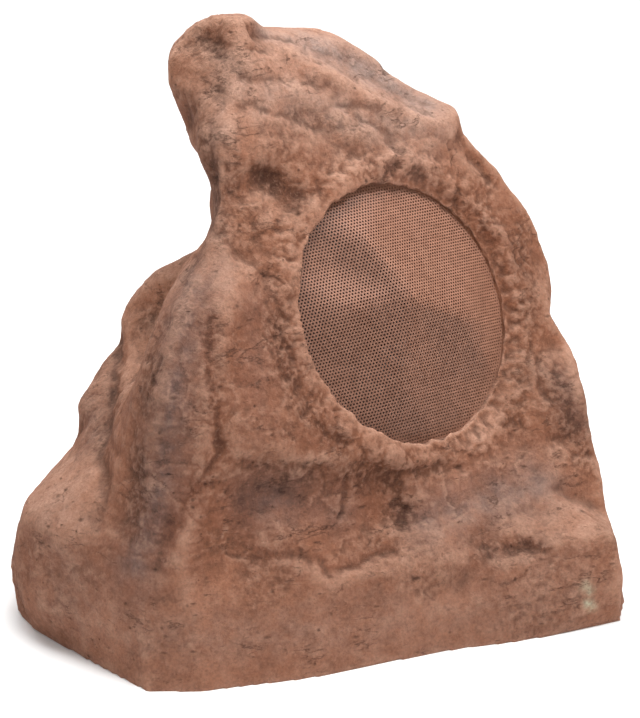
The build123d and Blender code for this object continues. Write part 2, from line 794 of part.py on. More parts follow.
with BuildPart() as crossover_board:
    with BuildSketch(Plane.XY.offset(board_base)):
        with Locations((board_x, board_y)):
            RectangleRounded(board_length, board_width, board_corner)
            with GridLocations(board_hole_pitch_x, board_hole_pitch_y, 2, 2):
                Circle(board_screw_radius + screw_clearance, mode=Mode.SUBTRACT)
    extrude(amount=board_thickness)

save(crossover_board, "crossover_board")

with BuildPart() as board_screws:
    with BuildSketch(Plane.XY.offset(board_top)):
        with Locations((board_x, board_y)):
            with GridLocations(board_hole_pitch_x, board_hole_pitch_y, 2, 2):
                Circle(board_screw_radius)
    extrude(amount=base_top - board_top - board_screw_bite + screw_tip_gap)
    with BuildSketch(Plane.XY.offset(board_top)):
        with Locations((board_x, board_y)):
            with GridLocations(board_hole_pitch_x, board_hole_pitch_y, 2, 2):
                Circle(board_screw_head_radius)
    extrude(amount=board_screw_head_height)

save(board_screws, "board_screws")

board_plane = Plane(origin=(board_x, board_y, board_top))

with BuildPart() as crossover_coil:
    with BuildSketch(board_plane):
        with Locations(crossover_coil_place):
            Circle(crossover_coil_radius)
            Circle(crossover_coil_bore, mode=Mode.SUBTRACT)
    extrude(amount=crossover_coil_height)
    fillet(edges().group_by(Axis.Z)[-1], radius=crossover_coil_edge)

save(crossover_coil, "crossover_coil")

with BuildPart() as crossover_capacitors:
    with BuildSketch(board_plane):
        with Locations(*capacitor_places):
            Circle(capacitor_radius)
    extrude(amount=capacitor_height)
    fillet(edges().group_by(Axis.Z)[-1], radius=capacitor_edge)

save(crossover_capacitors, "crossover_capacitors")

with BuildPart() as crossover_resistor:
    with BuildSketch(board_plane):
        with Locations(resistor_place):
            Rectangle(resistor_size[0], resistor_size[1])
    extrude(amount=resistor_size[2])
    chamfer(edges().group_by(Axis.Z)[-1], length=resistor_edge)

save(crossover_resistor, "crossover_resistor")

with BuildPart() as terminal_block:
    with BuildSketch(board_plane):
        with Locations(terminal_place):
            Rectangle(terminal_size[0], terminal_size[1])
    extrude(amount=terminal_size[2])
    with BuildSketch(board_plane.offset(terminal_size[2])):
        with Locations(terminal_place):
            with GridLocations(terminal_pitch, 0, 2, 1):
                Circle(terminal_hole_radius)
    extrude(amount=-terminal_size[2] / 2, mode=Mode.SUBTRACT)

save(terminal_block, "terminal_block")
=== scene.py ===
import math

import bmesh
import bpy
import numpy as np
from mathutils import Matrix, Vector, noise
from mathutils.bvhtree import BVHTree


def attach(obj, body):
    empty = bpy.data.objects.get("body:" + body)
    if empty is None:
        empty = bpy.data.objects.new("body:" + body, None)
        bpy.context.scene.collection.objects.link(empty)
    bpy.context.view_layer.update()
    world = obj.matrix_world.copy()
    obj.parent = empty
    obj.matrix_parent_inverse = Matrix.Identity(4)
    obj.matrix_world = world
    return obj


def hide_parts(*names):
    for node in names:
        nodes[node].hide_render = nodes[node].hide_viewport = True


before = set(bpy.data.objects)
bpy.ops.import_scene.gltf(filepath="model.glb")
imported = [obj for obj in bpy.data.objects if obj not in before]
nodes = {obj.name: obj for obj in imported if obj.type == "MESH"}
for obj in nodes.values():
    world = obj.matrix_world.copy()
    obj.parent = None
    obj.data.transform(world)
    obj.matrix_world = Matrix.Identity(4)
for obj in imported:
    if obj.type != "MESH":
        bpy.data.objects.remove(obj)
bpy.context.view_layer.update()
scene = bpy.context.scene
mm = 0.001
weld = 0.01 * mm  # points closer than this are one point
print("frame loaded:", len(nodes), "nodes")

# camera at the photograph's angle, and rays through the photograph's own pixels
cameraPlan = {
    "target": (0.012, 0.0, 0.158),
    "azimuth": -28.0,
    "elevation": 18.0,
    "distance": 1.9,
    "lens": 152.4,
    "sensor": 36.0,
    "frame": (640, 718),
}


def makeCamera(plan):
    turn, rise = math.radians(plan["azimuth"]), math.radians(plan["elevation"])
    back = Vector((math.sin(turn) * math.cos(rise), -math.cos(turn) * math.cos(rise), math.sin(rise)))
    lens = bpy.data.cameras.new("photoCamera")
    lens.lens = plan["lens"]
    lens.sensor_width = plan["sensor"]
    camera = bpy.data.objects.new("photoCamera", lens)
    camera.location = Vector(plan["target"]) + back * plan["distance"]
    camera.rotation_euler = (-back).to_track_quat("-Z", "Y").to_euler()
    scene.collection.objects.link(camera)
    scene.camera = camera
    right = Vector((math.cos(turn), math.sin(turn), 0.0))
    return camera, right, back.cross(right), back


camera, viewRight, viewUp, viewBack = makeCamera(cameraPlan)
pixelsPerLens = cameraPlan["lens"] / cameraPlan["sensor"] * max(cameraPlan["frame"])


def pixelRay(pixel):
    across = pixel[0] - cameraPlan["frame"][0] / 2
    down = pixel[1] - cameraPlan["frame"][1] / 2
    return ((viewRight * across - viewUp * down) / pixelsPerLens - viewBack).normalized()


# the leaning face that holds the speaker: centre of the opening, turn, lean and depth of the grille's seat
facePlan = {
    "centre": (0.050, -0.040, 0.194),
    "yaw": 11.4,
    "pitch": 24.0,
    "seatDepth": 0.008,
}
yaw, pitch = math.radians(facePlan["yaw"]), math.radians(facePlan["pitch"])
faceOut = Vector((math.sin(yaw) * math.cos(pitch), -math.cos(yaw) * math.cos(pitch), math.sin(pitch)))
faceRight = Vector((math.cos(yaw), math.sin(yaw), 0.0))
faceUp = faceOut.cross(faceRight)
faceFrame = Matrix((faceRight, faceUp, faceOut)).transposed().to_4x4()
faceFrame.translation = Vector(facePlan["centre"])


def linkMesh(name, mesh):
    piece = bpy.data.objects.new(name, mesh)
    scene.collection.objects.link(piece)
    return piece


def finishedMesh(piece):
    # the mesh with its modifiers applied, on the same object
    bpy.context.view_layer.update()
    mesh = bpy.data.meshes.new_from_object(piece.evaluated_get(bpy.context.evaluated_depsgraph_get()))
    old = piece.data
    piece.modifiers.clear()
    piece.data = mesh
    mesh.name = piece.name
    bpy.data.meshes.remove(old)
    return mesh


def readPoints(mesh):
    points = np.empty(len(mesh.vertices) * 3, np.float32)
    mesh.vertices.foreach_get("co", points)
    return points.reshape(-1, 3).astype(float)


def writePoints(mesh, points):
    mesh.vertices.foreach_set("co", points.astype(np.float32).ravel())
    mesh.update()


def readNormals(mesh):
    normals = np.empty(len(mesh.vertices) * 3, np.float32)
    mesh.vertex_normals.foreach_get("vector", normals)
    return normals.reshape(-1, 3).astype(float)


def ramp(values, low, high):
    share = np.clip((values - low) / (high - low), 0.0, 1.0)
    return share * share * (3.0 - 2.0 * share)


# rock: an even skin over the moulded housing, eased and then worked with strokes and grain
rockPlan = {
    "voxel": 1.75 * mm,
    # left as moulded: the well of the opening, the standing edge and the notch for the cable
    "wellRadius": 85 * mm,
    "wellDepths": (-37 * mm, 1.5 * mm),
    "groundEdge": 0.6 * mm,
    "notchMiddle": 72 * mm,
    "notchHalf": 8 * mm,
    "notchFrom": 0.1,
    "notchHeight": 11 * mm,
    # easing of the housing's flats
    "faceDepths": (-40 * mm, 12 * mm),
    "openingKeep": (85 * mm, 93 * mm),
    "footKeep": (0.0, 8 * mm),
    "softenRounds": 40,
    "pushRounds": 12,
    # grain: how high it stands, and the noise that gives it
    "waver": 3.2 * mm,
    "waverGrain": {"scale": 70.0, "octaves": 3},
    "waverShifts": (40.0, 49.0, 58.0),
    "patchShare": 0.45,
    "patchGrain": {"scale": 19.0, "octaves": 3, "shift": 4.0},
    "patchFrom": (0.0, 0.7),
    "swell": 1.0 * mm,
    "swellGrain": {"scale": 17.0, "octaves": 3},
    "strata": 0.6 * mm,
    "strataGrain": {"scale": 22.0, "octaves": 3, "shift": 11.0, "stretch": (1.0, 1.0, 3.4)},
    "flakes": 0.9 * mm,
    "flakeScale": 38.0,
    "chips": 2.0 * mm,
    "chipScale": 95.0,
    "grit": 1.1 * mm,
    "gritGrain": {"scale": 160.0, "octaves": 4, "shift": 2.0},
    "gritShares": (0.12, 0.88),  # everywhere, and more in the rough places
    "calmShares": (0.35, 0.65),  # on the skirt, and more above it
    "calmHeights": (40 * mm, 95 * mm),
    "grainFoot": (-2 * mm, 14 * mm),
    "deepest": 3.4 * mm,
    # rim round the opening: rough, and leaning in over the edge of the grille
    "rimRough": 1.8 * mm,
    "rimGrain": {"scale": 140.0, "octaves": 4, "shift": 7.0},
    "rimRadius": 92 * mm,
    "rimWidth": 13 * mm,
    "rimShares": (0.55, 0.45),  # at the opening, and more outside it
    "rimKeep": (83.5 * mm, 89 * mm),
    "leanReach": 2.6 * mm,
    "leanGrain": {"scale": 55.0, "octaves": 3, "shift": 3.0},
    "leanShares": (0.35, 0.65),
    "leanFrom": (-0.5, 0.6),
    "leanAbove": 1.5 * mm,
    "leanRadii": (84 * mm, 94 * mm),
    "leanLess": 0.8,  # on the far side
    "leanSide": (-0.1, 0.8),
    # rim again: sloping down to the grille on the far side, and ragged all round
    "slope": 0.82,
    "slopeAbove": 1.4 * mm,
    "slopeEnd": 106 * mm,
    "slopeRadii": (84 * mm, 100 * mm),
    "slopeSide": (-0.3, 0.6),
    "ragged": 1.7 * mm,
    "raggedGrain": {"scale": 110.0, "octaves": 4, "shift": 21.0},
    "raggedRise": (0.0, 5 * mm),
    "raggedRadii": (88 * mm, 104 * mm),
    # inside of the wall, and the count of faces
    "wallReach": 0.02,
    "wallTouch": 0.5 * mm,
    "thinnestWall": 4.0 * mm,
    "triangles": 190000,
    "innerTriangles": 9000,
    "flapGap": 0.005 * mm,
}

# how a stroke fades sideways: the power that it falls with, and how many widths out it is cut off
strokeEdge = {"cutOff": 2.2, "power": 1.5}

# strokes on the photograph: positive depths raise, negative ones carve; widths and depths in millimetres
rockStrokes = [
    # head: rounded nose, hollow under its top, stepped layers, pale front edge of the top slab
    (8, 2.4, [(199, 38), (214, 48), (234, 62)]),
    (7, 2.5, [(196, 26), (222, 30), (244, 40)]),
    (7, 2.5, [(297, 55), (329, 74), (371, 99), (413, 118), (447, 128)]),
    (10, -2.5, [(315, 46), (350, 62), (392, 86), (424, 104)]),
    (3, -1.4, [(255, 34), (275, 36), (293, 39)]),
    (3, -1.2, [(251, 49), (268, 52)]),
    (3, -1.2, [(297, 57), (323, 64)]),
    (3.5, -1.8, [(240, 78), (268, 82), (302, 80), (325, 85)]),
    (3.5, -2.0, [(238, 109), (251, 105), (276, 115), (297, 114), (318, 109), (352, 105), (377, 110)]),
    (8, -2.6, [(300, 122), (318, 126), (330, 128)]),
    (8, 2.4, [(258, 158), (272, 161), (284, 166)]),
    (14, -2.4, [(268, 180), (288, 192)]),
    (7, -2.6, [(257, 172), (270, 182), (286, 190), (299, 200)]),
    (6, -2.4, [(240, 200), (250, 216), (258, 246)]),
    (5, 2.0, [(262, 222), (272, 226)]),
    (7, -2.2, [(222, 92), (214, 133), (215, 184), (226, 212)]),
    (10, 2.5, [(232, 78), (224, 112), (230, 140)]),
    (4, -1.8, [(352, 112), (386, 130), (404, 150)]),
    (6, -2.0, [(330, 140), (352, 152), (370, 160)]),
    # end of the top slab and the step below it
    (9, 2.5, [(441, 101), (451, 110), (455, 122)]),
    (5, -2.4, [(458, 134), (470, 156), (490, 180)]),
    # neck and shoulder
    (6, -2.4, [(216, 236), (240, 252), (262, 276)]),
    (12, 3.0, [(150, 292), (184, 268), (206, 254)]),
    (9, 2.5, [(224, 250), (228, 280), (220, 314)]),
    (8, 2.4, [(130, 330), (126, 382), (119, 436)]),
    (8, 2.2, [(92, 390), (88, 420), (92, 442)]),
    (3, -1.5, [(214, 320), (206, 356), (216, 410), (218, 446)]),
    (6, 0.8, [(228, 320), (222, 356), (232, 410), (234, 440)]),
    (6, -2.0, [(222, 446), (195, 486), (168, 536), (158, 562)]),
    (5, -3.4, [(119, 340), (115, 372), (112, 400), (106, 432), (100, 458)]),
    (9, -2.0, [(99, 452), (108, 485), (102, 518)]),
    (14, 2.0, [(30, 505), (24, 560), (26, 596)]),
    (16, 2.0, [(60, 470), (44, 500)]),
    # recess under the rim, its cracks and the ledge below
    (16, -3.0, [(262, 492), (290, 500)]),
    (9, 3.0, [(238, 452), (302, 456), (343, 462), (392, 456)]),
    (4, -3.0, [(394, 478), (396, 502), (404, 508), (402, 524)]),
    (3, -2.2, [(345, 478), (345, 511), (341, 516)]),
    (4, -2.5, [(251, 558), (302, 556), (331, 570), (343, 568), (369, 560), (392, 549)]),
    (10, 2.5, [(322, 584), (384, 574), (460, 564), (520, 566)]),
    (9, 3.0, [(436, 536), (476, 516), (520, 494), (557, 478)]),
    (7, -1.8, [(484, 552), (512, 548), (543, 546)]),
    (4, -3.0, [(416, 467), (418, 470)]),
    # right flank: rough dark patch and small bumps along the rim
    (4, -2.2, [(536, 362), (540, 380), (548, 400)]),
    (4, 2.0, [(532, 366), (536, 386)]),
    (7, -2.4, [(560, 372), (566, 404), (574, 430)]),
    (9, 2.0, [(548, 300), (560, 330), (572, 362)]),
    (5, -2.0, [(556, 440), (574, 452), (590, 456)]),
]

# rough places on the photograph: reach in millimetres, strength, path
roughZones = [
    (11, 1.0, [(196, 42), (214, 52), (232, 66)]),
    (9, 0.9, [(204, 120), (212, 170), (224, 236), (196, 262)]),
    (8, 0.8, [(228, 140), (236, 190), (246, 232)]),
    (14, 0.9, [(262, 176), (288, 196)]),
    (9, 0.8, [(262, 212), (246, 248)]),
    (11, 0.7, [(296, 116), (330, 124), (360, 132)]),
    (9, 0.9, [(152, 318), (158, 364), (146, 396)]),
    (9, 0.9, [(140, 456), (134, 524)]),
    (8, 0.6, [(212, 320), (212, 400), (222, 450), (196, 490)]),
    (8, 0.9, [(276, 320), (284, 370), (304, 416), (338, 440)]),
    (8, 0.7, [(244, 458), (310, 466), (392, 470), (440, 462)]),
    (11, 0.6, [(398, 490), (404, 520), (372, 552)]),
    (9, 0.7, [(520, 230), (532, 300), (526, 372), (506, 420)]),
    (13, 0.9, [(552, 380), (568, 420), (580, 446)]),
    (10, 0.6, [(488, 550), (540, 548)]),
    (10, 0.5, [(90, 400), (100, 440)]),
]

# strokes on the sides that the photograph hides: width, depth and points on the rock, in millimetres
rearStrokes = [
    (7, -4.0, [(-20, 122, 70), (-8, 118, 150), (10, 104, 236)]),
    (9, 3.5, [(40, 128, 90), (52, 124, 150), (60, 110, 220)]),
    (6, -3.5, [(120, 110, 60), (112, 112, 130), (96, 104, 230)]),
    (5, -3.0, [(-60, 124, 96), (0, 126, 112), (70, 124, 104), (120, 108, 98)]),
    (5, -2.6, [(-30, 116, 176), (30, 118, 190), (90, 106, 182)]),
    (8, 3.0, [(-90, 110, 84), (-40, 124, 80), (20, 130, 78)]),
    (5, -2.6, [(160, 40, 60), (150, 30, 110), (148, 10, 170)]),
    (6, 3.0, [(166, -20, 96), (158, -4, 150), (146, 8, 210)]),
    (5, -2.4, [(150, 60, 96), (146, 72, 140), (130, 70, 200)]),
    (6, -3.0, [(-130, 40, 76), (-120, 70, 84), (-100, 96, 80)]),
    (5, -2.6, [(10, 90, 300), (50, 90, 290), (90, 70, 272)]),
]


def copyOfNode(name, node):
    mesh = bpy.data.meshes.new(name)
    bm = bmesh.new()
    bm.from_mesh(nodes[node].data)
    bmesh.ops.remove_doubles(bm, verts=bm.verts, dist=weld)
    bm.to_mesh(mesh)
    bm.free()
    return linkMesh(name, mesh)


def edgeLinks(mesh):
    # both ends of every edge, and how many neighbours each point has
    ends = np.empty(len(mesh.edges) * 2, np.int32)
    mesh.edges.foreach_get("vertices", ends)
    counts = np.bincount(ends, minlength=len(mesh.vertices))
    return ends[0::2], ends[1::2], np.maximum(counts, 1)


def grownFrom(seed, allowed, firstEnds, secondEnds):
    reached = np.zeros(len(allowed), bool)
    reached[seed] = True
    size = 0
    while reached.sum() != size:
        size = reached.sum()
        reached[firstEnds[reached[secondEnds]]] = True
        reached[secondEnds[reached[firstEnds]]] = True
        reached &= allowed
    return reached


def averaged(values, links):
    # each point's mean over its neighbours
    firstEnds, secondEnds, counts = links
    own = np.concatenate((firstEnds, secondEnds))
    other = np.concatenate((secondEnds, firstEnds))
    columns = [np.bincount(own, column[other], len(counts)) / counts for column in values.T]
    return np.stack(columns, 1)


def softened(values, links, rounds, weight=1.0, share=0.6):
    for done in range(rounds):
        values = values + weight * share * (averaged(values, links) - values)
    return values


def pathDistance(points, path):
    nearest = np.full(len(points), np.inf)
    for start, end in zip(path[:-1], path[1:]):
        run = end - start
        share = np.clip((points - start) @ run / (run @ run), 0.0, 1.0)
        nearest = np.minimum(nearest, np.linalg.norm(points - start - share[:, None] * run, axis=1))
    return nearest


def strokeShare(points, path, width):
    # full along the path, fading sideways
    share = np.zeros(len(points))
    cutOff = strokeEdge["cutOff"] * width
    low, high = path.min(0) - cutOff, path.max(0) + cutOff
    near = np.where(np.all((points > low) & (points < high), axis=1))[0]
    share[near] = np.exp(-((pathDistance(points[near], path) / width) ** strokeEdge["power"]))
    return share


def strokesOn(points, skinTree, strokes):
    # strength and share of each stroke, laid where the camera's rays meet the skin
    for width, strength, pixels in strokes:
        hits = [skinTree.ray_cast(camera.location, pixelRay(pixel))[0] for pixel in pixels]
        path = np.array([hit for hit in hits if hit is not None])
        if len(path) > 1:
            yield strength, strokeShare(points, path, width * mm)


def grainOf(points, scale, octaves, shift=0.0, stretch=(1.0, 1.0, 1.0)):
    loss, finer = 0.9, 2.1  # from one octave to the next
    scaled = (points * scale * np.array(stretch) + shift).tolist()
    return np.array([noise.fractal(place, loss, finer, octaves) for place in scaled])


def chipsOf(points, scale):
    # flats broken at random slopes, one to each cell
    scatter = 7.3  # takes neighbouring seeds to unlike slopes
    middle = Vector((0.5, 0.5, 0.5))
    heights = []
    for place in (points * scale).tolist():
        seed = noise.voronoi(place)[1][0]
        slope = noise.cell_vector(seed * scatter) - middle
        heights.append((Vector(place) - seed).dot(slope))
    return np.array(heights)


def roughShare(points, skinTree, plan):
    # rough places seen on the photograph, and patches of them all over
    share = plan["patchShare"] * ramp(grainOf(points, **plan["patchGrain"]), *plan["patchFrom"])
    for strength, zone in strokesOn(points, skinTree, roughZones):
        share = np.maximum(share, strength * zone)
    return share


def treeOf(mesh, points):
    return BVHTree.FromPolygons(points.tolist(), [list(face.vertices) for face in mesh.polygons])


def splitSkin(points, links, plan):
    # each point seen from the leaning face, and what is outside, well, or inside of the wall
    local = (points - np.array(facePlan["centre"])) @ np.array([faceRight, faceUp, faceOut]).T
    radius, depth = np.hypot(local[:, 0], local[:, 1]), local[:, 2]
    deep, front = plan["wellDepths"]
    well = (radius < plan["wellRadius"]) & (depth > deep) & (depth < front)
    ground = points[:, 2] < plan["groundEdge"]
    notch = abs(points[:, 0] - plan["notchMiddle"]) < plan["notchHalf"]
    notch &= (points[:, 1] > plan["notchFrom"]) & (points[:, 2] < plan["notchHeight"])
    moulded = well | ground | notch
    outer = grownFrom(points[:, 2].argmax(), ~moulded, *links[:2])
    deep, front = plan["faceDepths"]
    nearFace = (depth > deep) & (depth < front)
    return {
        "local": local,
        "radius": radius,
        "depth": depth,
        "nearFace": nearFace,
        "outer": outer,
        "rimSkin": outer | well,
        "inside": ~(outer | moulded),
    }


def easeForm(points, links, parts, plan):
    # eases the housing's flats into each other, keeping the edge of the opening and the foot
    keep = np.where(parts["nearFace"], ramp(parts["radius"], *plan["openingKeep"]), 1.0)
    keep = keep * ramp(points[:, 2], *plan["footKeep"])
    weight = (parts["outer"] * keep)[:, None]
    soft = softened(points, links, plan["softenRounds"], weight)
    return soft + weight * softened(points - soft, links, plan["softenRounds"] // 2)


def workedHeight(mesh, points, parts, plan):
    # how far each point goes out or in: strokes first, then the grain of the stone
    outer, nearFace, radius = parts["outer"], parts["nearFace"], parts["radius"]
    skinTree = treeOf(mesh, points)
    height = np.zeros(len(points))
    shaken = points.copy()  # the strokes waver like broken stone
    for axis, shift in enumerate(plan["waverShifts"]):
        shaken[outer, axis] += plan["waver"] * grainOf(points[outer], shift=shift, **plan["waverGrain"])
    for tall, share in strokesOn(shaken, skinTree, rockStrokes):
        height += tall * mm * share
    for width, tall, places in rearStrokes:
        path = np.array([list(skinTree.find_nearest(Vector(place) * mm)[0]) for place in places])
        height += tall * mm * strokeShare(shaken, path, width * mm)
    print("rock strokes:", len(rockStrokes) + len(rearStrokes))

    # calmer on the skirt and the foot, coarser round the opening
    work, broken = points[outer], shaken[outer]
    low, more = plan["calmShares"]
    calm = low + more * ramp(work[:, 2], *plan["calmHeights"])
    patches = roughShare(work, skinTree, plan)
    onRim = nearFace[outer] * np.exp(-(((radius[outer] - plan["rimRadius"]) / plan["rimWidth"]) ** 2))
    rough = plan["swell"] * grainOf(work, **plan["swellGrain"])
    rough += plan["strata"] * grainOf(work, **plan["strataGrain"]) * calm
    rough += plan["flakes"] * chipsOf(broken, plan["flakeScale"]) * calm
    rough += plan["chips"] * chipsOf(broken, plan["chipScale"]) * patches
    low, more = plan["gritShares"]
    rough += plan["grit"] * grainOf(work, **plan["gritGrain"]) * (low + more * patches)
    rough += plan["rimRough"] * onRim * grainOf(work, **plan["rimGrain"])
    height[outer] += rough * ramp(work[:, 2], *plan["grainFoot"])
    low, more = plan["rimShares"]
    height *= outer * np.where(nearFace, low + more * ramp(radius, *plan["rimKeep"]), 1.0)
    return plan["deepest"] * np.tanh(height / plan["deepest"])


def nearRim(parts, reach, above):
    # points of the rim, their place on the face, their radius and the way outward
    seat = -facePlan["seatDepth"] + above
    near = parts["nearFace"] & (parts["radius"] < reach) & (parts["depth"] > seat) & parts["rimSkin"]
    local, radius = parts["local"][near], parts["radius"][near]
    outward = (np.outer(local[:, 0], faceRight) + np.outer(local[:, 1], faceUp)) / radius[:, None]
    return near, local, radius, outward


def shapeRim(moved, parts, plan):
    # ragged inner edge, leaning in over the edge of the grille
    edge, local, radius, outward = nearRim(parts, plan["leanRadii"][1], plan["leanAbove"])
    low, more = plan["leanShares"]
    lean = low + more * ramp(grainOf(local, **plan["leanGrain"]), *plan["leanFrom"])
    lean *= plan["leanReach"] * (1.0 - ramp(radius, *plan["leanRadii"]))
    lean *= 1.0 - plan["leanLess"] * ramp(local[:, 0] / radius, *plan["leanSide"])
    moved[edge] -= outward * lean[:, None]
    # on the far side it slopes down to the edge of the grille, and it is ragged all round
    side, local, radius, outward = nearRim(parts, plan["slopeEnd"], plan["slopeAbove"])
    above = local[:, 2] + facePlan["seatDepth"] - plan["slopeAbove"]
    sink = plan["slope"] * above * (1.0 - ramp(radius, *plan["slopeRadii"]))
    sink *= ramp(local[:, 0] / radius, *plan["slopeSide"])
    ragged = plan["ragged"] * grainOf(local, **plan["raggedGrain"])
    ragged *= ramp(above, *plan["raggedRise"]) * (1.0 - ramp(radius, *plan["raggedRadii"]))
    moved[side] += outward * ragged[:, None] - np.outer(sink, faceOut)


def clearWall(mesh, moved, parts, plan):
    # the inside of the wall stays clear of what was carved
    outer, wall = parts["outer"], plan["thinnestWall"]
    faces = [list(face.vertices) for face in mesh.polygons if outer[face.vertices[0]]]
    shell = BVHTree.FromPolygons(moved.tolist(), faces)
    for point in np.where(parts["inside"])[0]:
        spot = Vector(moved[point])
        place, out, face, gap = shell.find_nearest(spot, plan["wallReach"])
        if place is None:
            continue
        behind = (spot - place).dot(out) < 0
        if behind and gap >= wall:
            continue
        way = (spot - place).normalized() if behind and gap > plan["wallTouch"] else -out
        moved[point] = place + way * wall


def sculptRock(plan):
    rock = copyOfNode("rockSkin", "rock_shell")
    skin = rock.modifiers.new("evenSkin", "REMESH")
    skin.mode = "VOXEL"
    skin.voxel_size = plan["voxel"]
    mesh = finishedMesh(rock)
    links = edgeLinks(mesh)
    points = readPoints(mesh)
    parts = splitSkin(points, links, plan)
    print("rock skin:", len(points), "points,", parts["outer"].sum(), "outside")
    points = easeForm(points, links, parts, plan)
    writePoints(mesh, points)
    push = softened(readNormals(mesh), links, plan["pushRounds"])
    push /= np.linalg.norm(push, axis=1)[:, None]
    moved = points + push * workedHeight(mesh, points, parts, plan)[:, None]
    shapeRim(moved, parts, plan)
    clearWall(mesh, moved, parts, plan)
    writePoints(mesh, moved)
    return rock, parts["outer"], links


rock, rockOuter, rockLinks = sculptRock(rockPlan)
print("rock sculpted")

# paint laid on the rock: kind, reach in millimetres, strength and path on the photograph; the dark strokes
# are painted shade and the pale ones painted light
rockPaint = [
    ("haze", 17, 1.0, [(308, 42), (340, 56), (392, 84), (424, 104)]),
    ("haze", 10, 0.7, [(262, 32), (300, 40)]),
    ("ash", 18, 0.95, [(194, 276), (182, 335), (170, 425), (158, 500), (138, 560)]),
    ("ash", 9, 0.5, [(205, 250), (216, 200), (214, 140)]),
    ("ash", 20, 0.9, [(262, 496), (280, 500)]),
    ("ash", 13, 0.6, [(318, 510), (345, 514)]),
    ("ash", 12, 0.55, [(86, 400), (92, 440)]),
    ("ash", 14, 0.5, [(560, 380), (578, 420)]),
    ("ash", 18, 0.9, [(430, 520), (480, 500), (540, 482)]),
    ("ash", 24, 0.3, [(258, 300), (256, 360), (262, 430)]),
    ("ash", 12, 0.5, [(480, 150), (520, 205)]),
    # painted light: pale strokes on raised edges, the top slab, the ledge and the skirt
    ("pale", 8, 0.3, [(440, 532), (476, 514), (520, 494), (552, 480)]),
    ("pale", 9, 0.2, [(322, 586), (384, 576), (460, 562)]),
    ("pale", 9, 0.6, [(226, 78), (222, 112), (226, 132)]),
    ("pale", 8, 0.45, [(297, 57), (371, 100), (447, 130)]),
    ("pale", 8, 0.4, [(226, 250), (228, 290)]),
    ("pale", 24, 0.8, [(246, 92), (300, 98), (352, 116), (410, 132)]),
    ("pale", 26, 0.45, [(50, 520), (70, 570), (80, 620)]),
    ("pale", 30, 0.4, [(60, 540), (60, 610), (160, 640), (320, 630), (480, 612), (580, 590)]),
    # painted shade: dark strokes in hollows, creases and under the rim, one of them reddish
    ("soot", 8, 0.8, [(199, 38), (214, 48), (234, 64)]),
    ("soot", 8, 0.65, [(258, 174), (280, 188), (299, 200)]),
    ("soot", 9, 0.6, [(214, 140), (216, 190), (220, 236)]),
    ("soot", 9, 0.5, [(150, 322), (158, 364), (144, 392), (141, 470)]),
    ("rust", 8, 0.7, [(84, 396), (96, 388)]),
    ("soot", 6, 1.0, [(117, 350), (112, 392), (106, 432), (99, 458)]),
    ("soot", 10, 0.5, [(240, 470), (300, 476), (380, 480)]),
    ("soot", 9, 0.6, [(484, 552), (543, 547)]),
    ("soot", 14, 0.5, [(540, 372), (574, 420)]),
    # painted shade, reddish: along creases, under the ledge and at the top edge of the opening
    ("rust", 4, 0.9, [(214, 320), (206, 356), (216, 410), (220, 446)]),
    ("rust", 7, 0.7, [(222, 446), (195, 486), (168, 536)]),
    ("rust", 7, 0.8, [(390, 178), (430, 182), (462, 200), (492, 236)]),
    ("rust", 8, 0.7, [(484, 553), (543, 549)]),
    ("rust", 7, 0.6, [(251, 560), (331, 572), (392, 551)]),
    ("rust", 8, 0.5, [(84, 392), (100, 384)]),
    ("rust", 10, 0.5, [(290, 380), (310, 420), (350, 446)]),
    ("chip", 2.6, 1.0, [(585, 586), (590, 591)]),
    ("chip", 2.6, 1.0, [(588, 603), (592, 606)]),
]

# hollows and crests, for painted shade in the hollows and a painted highlight on the crests: rounds of
# easing and the depth that counts in full, then their shares in each mask
reliefPlan = {
    "close": (4, 0.16 * mm),
    "broad": (30, 1.3 * mm),
    "hollowShade": (0.6, 0.7),
    "crestHighlight": (0.6, 0.6),
}


def paintRock(rock, links, plan, relief):
    mesh = rock.data
    points, normals = readPoints(mesh), readNormals(mesh)
    skinTree = treeOf(mesh, points)
    masks = {}
    for kind in ("ash", "haze", "pale", "soot", "rust", "chip"):
        masks[kind] = np.zeros(len(points))
        strokes = [stroke for own, *stroke in rockPaint if own == kind]
        for strength, share in strokesOn(points, skinTree, strokes):
            masks[kind] = np.maximum(masks[kind], strength * share)
    masks["rough"] = roughShare(points, skinTree, plan)

    def standing(rounds, full):
        return ((points - softened(points, links, rounds)) * normals).sum(1) / full

    close, broad = standing(*relief["close"]), standing(*relief["broad"])
    # masks for painted shade in the hollows and a painted highlight on the crests
    for kind, sign in (("hollowShade", -1), ("crestHighlight", 1)):
        closeShare, broadShare = relief[kind]
        masks[kind] = np.clip(sign * close, 0, 1) * closeShare + np.clip(sign * broad, 0, 1) * broadShare
    for kind, mask in masks.items():
        layer = mesh.attributes.new(kind, "FLOAT", "POINT")
        layer.data.foreach_set("value", np.clip(mask, 0.0, 1.0).astype(np.float32))
    print("rock painted:", len(masks), "masks")


paintRock(rock, rockLinks, rockPlan, reliefPlan)


def countTriangles(mesh):
    return sum(len(face.vertices) - 2 for face in mesh.polygons)


def clearFlaps(mesh, gap):
    # thinning can leave crowded points and faces folded flat on each other
    bm = bmesh.new()
    bm.from_mesh(mesh)
    bmesh.ops.remove_doubles(bm, verts=bm.verts, dist=gap)
    bmesh.ops.dissolve_degenerate(bm, dist=gap, edges=bm.edges)
    bm.verts.index_update()
    stacks = {}
    for face in bm.faces:
        stacks.setdefault(tuple(sorted(vert.index for vert in face.verts)), []).append(face)
    flaps = [face for stack in stacks.values() if len(stack) > 1 for face in stack]
    bmesh.ops.delete(bm, geom=flaps, context="FACES")
    bm.to_mesh(mesh)
    bm.free()


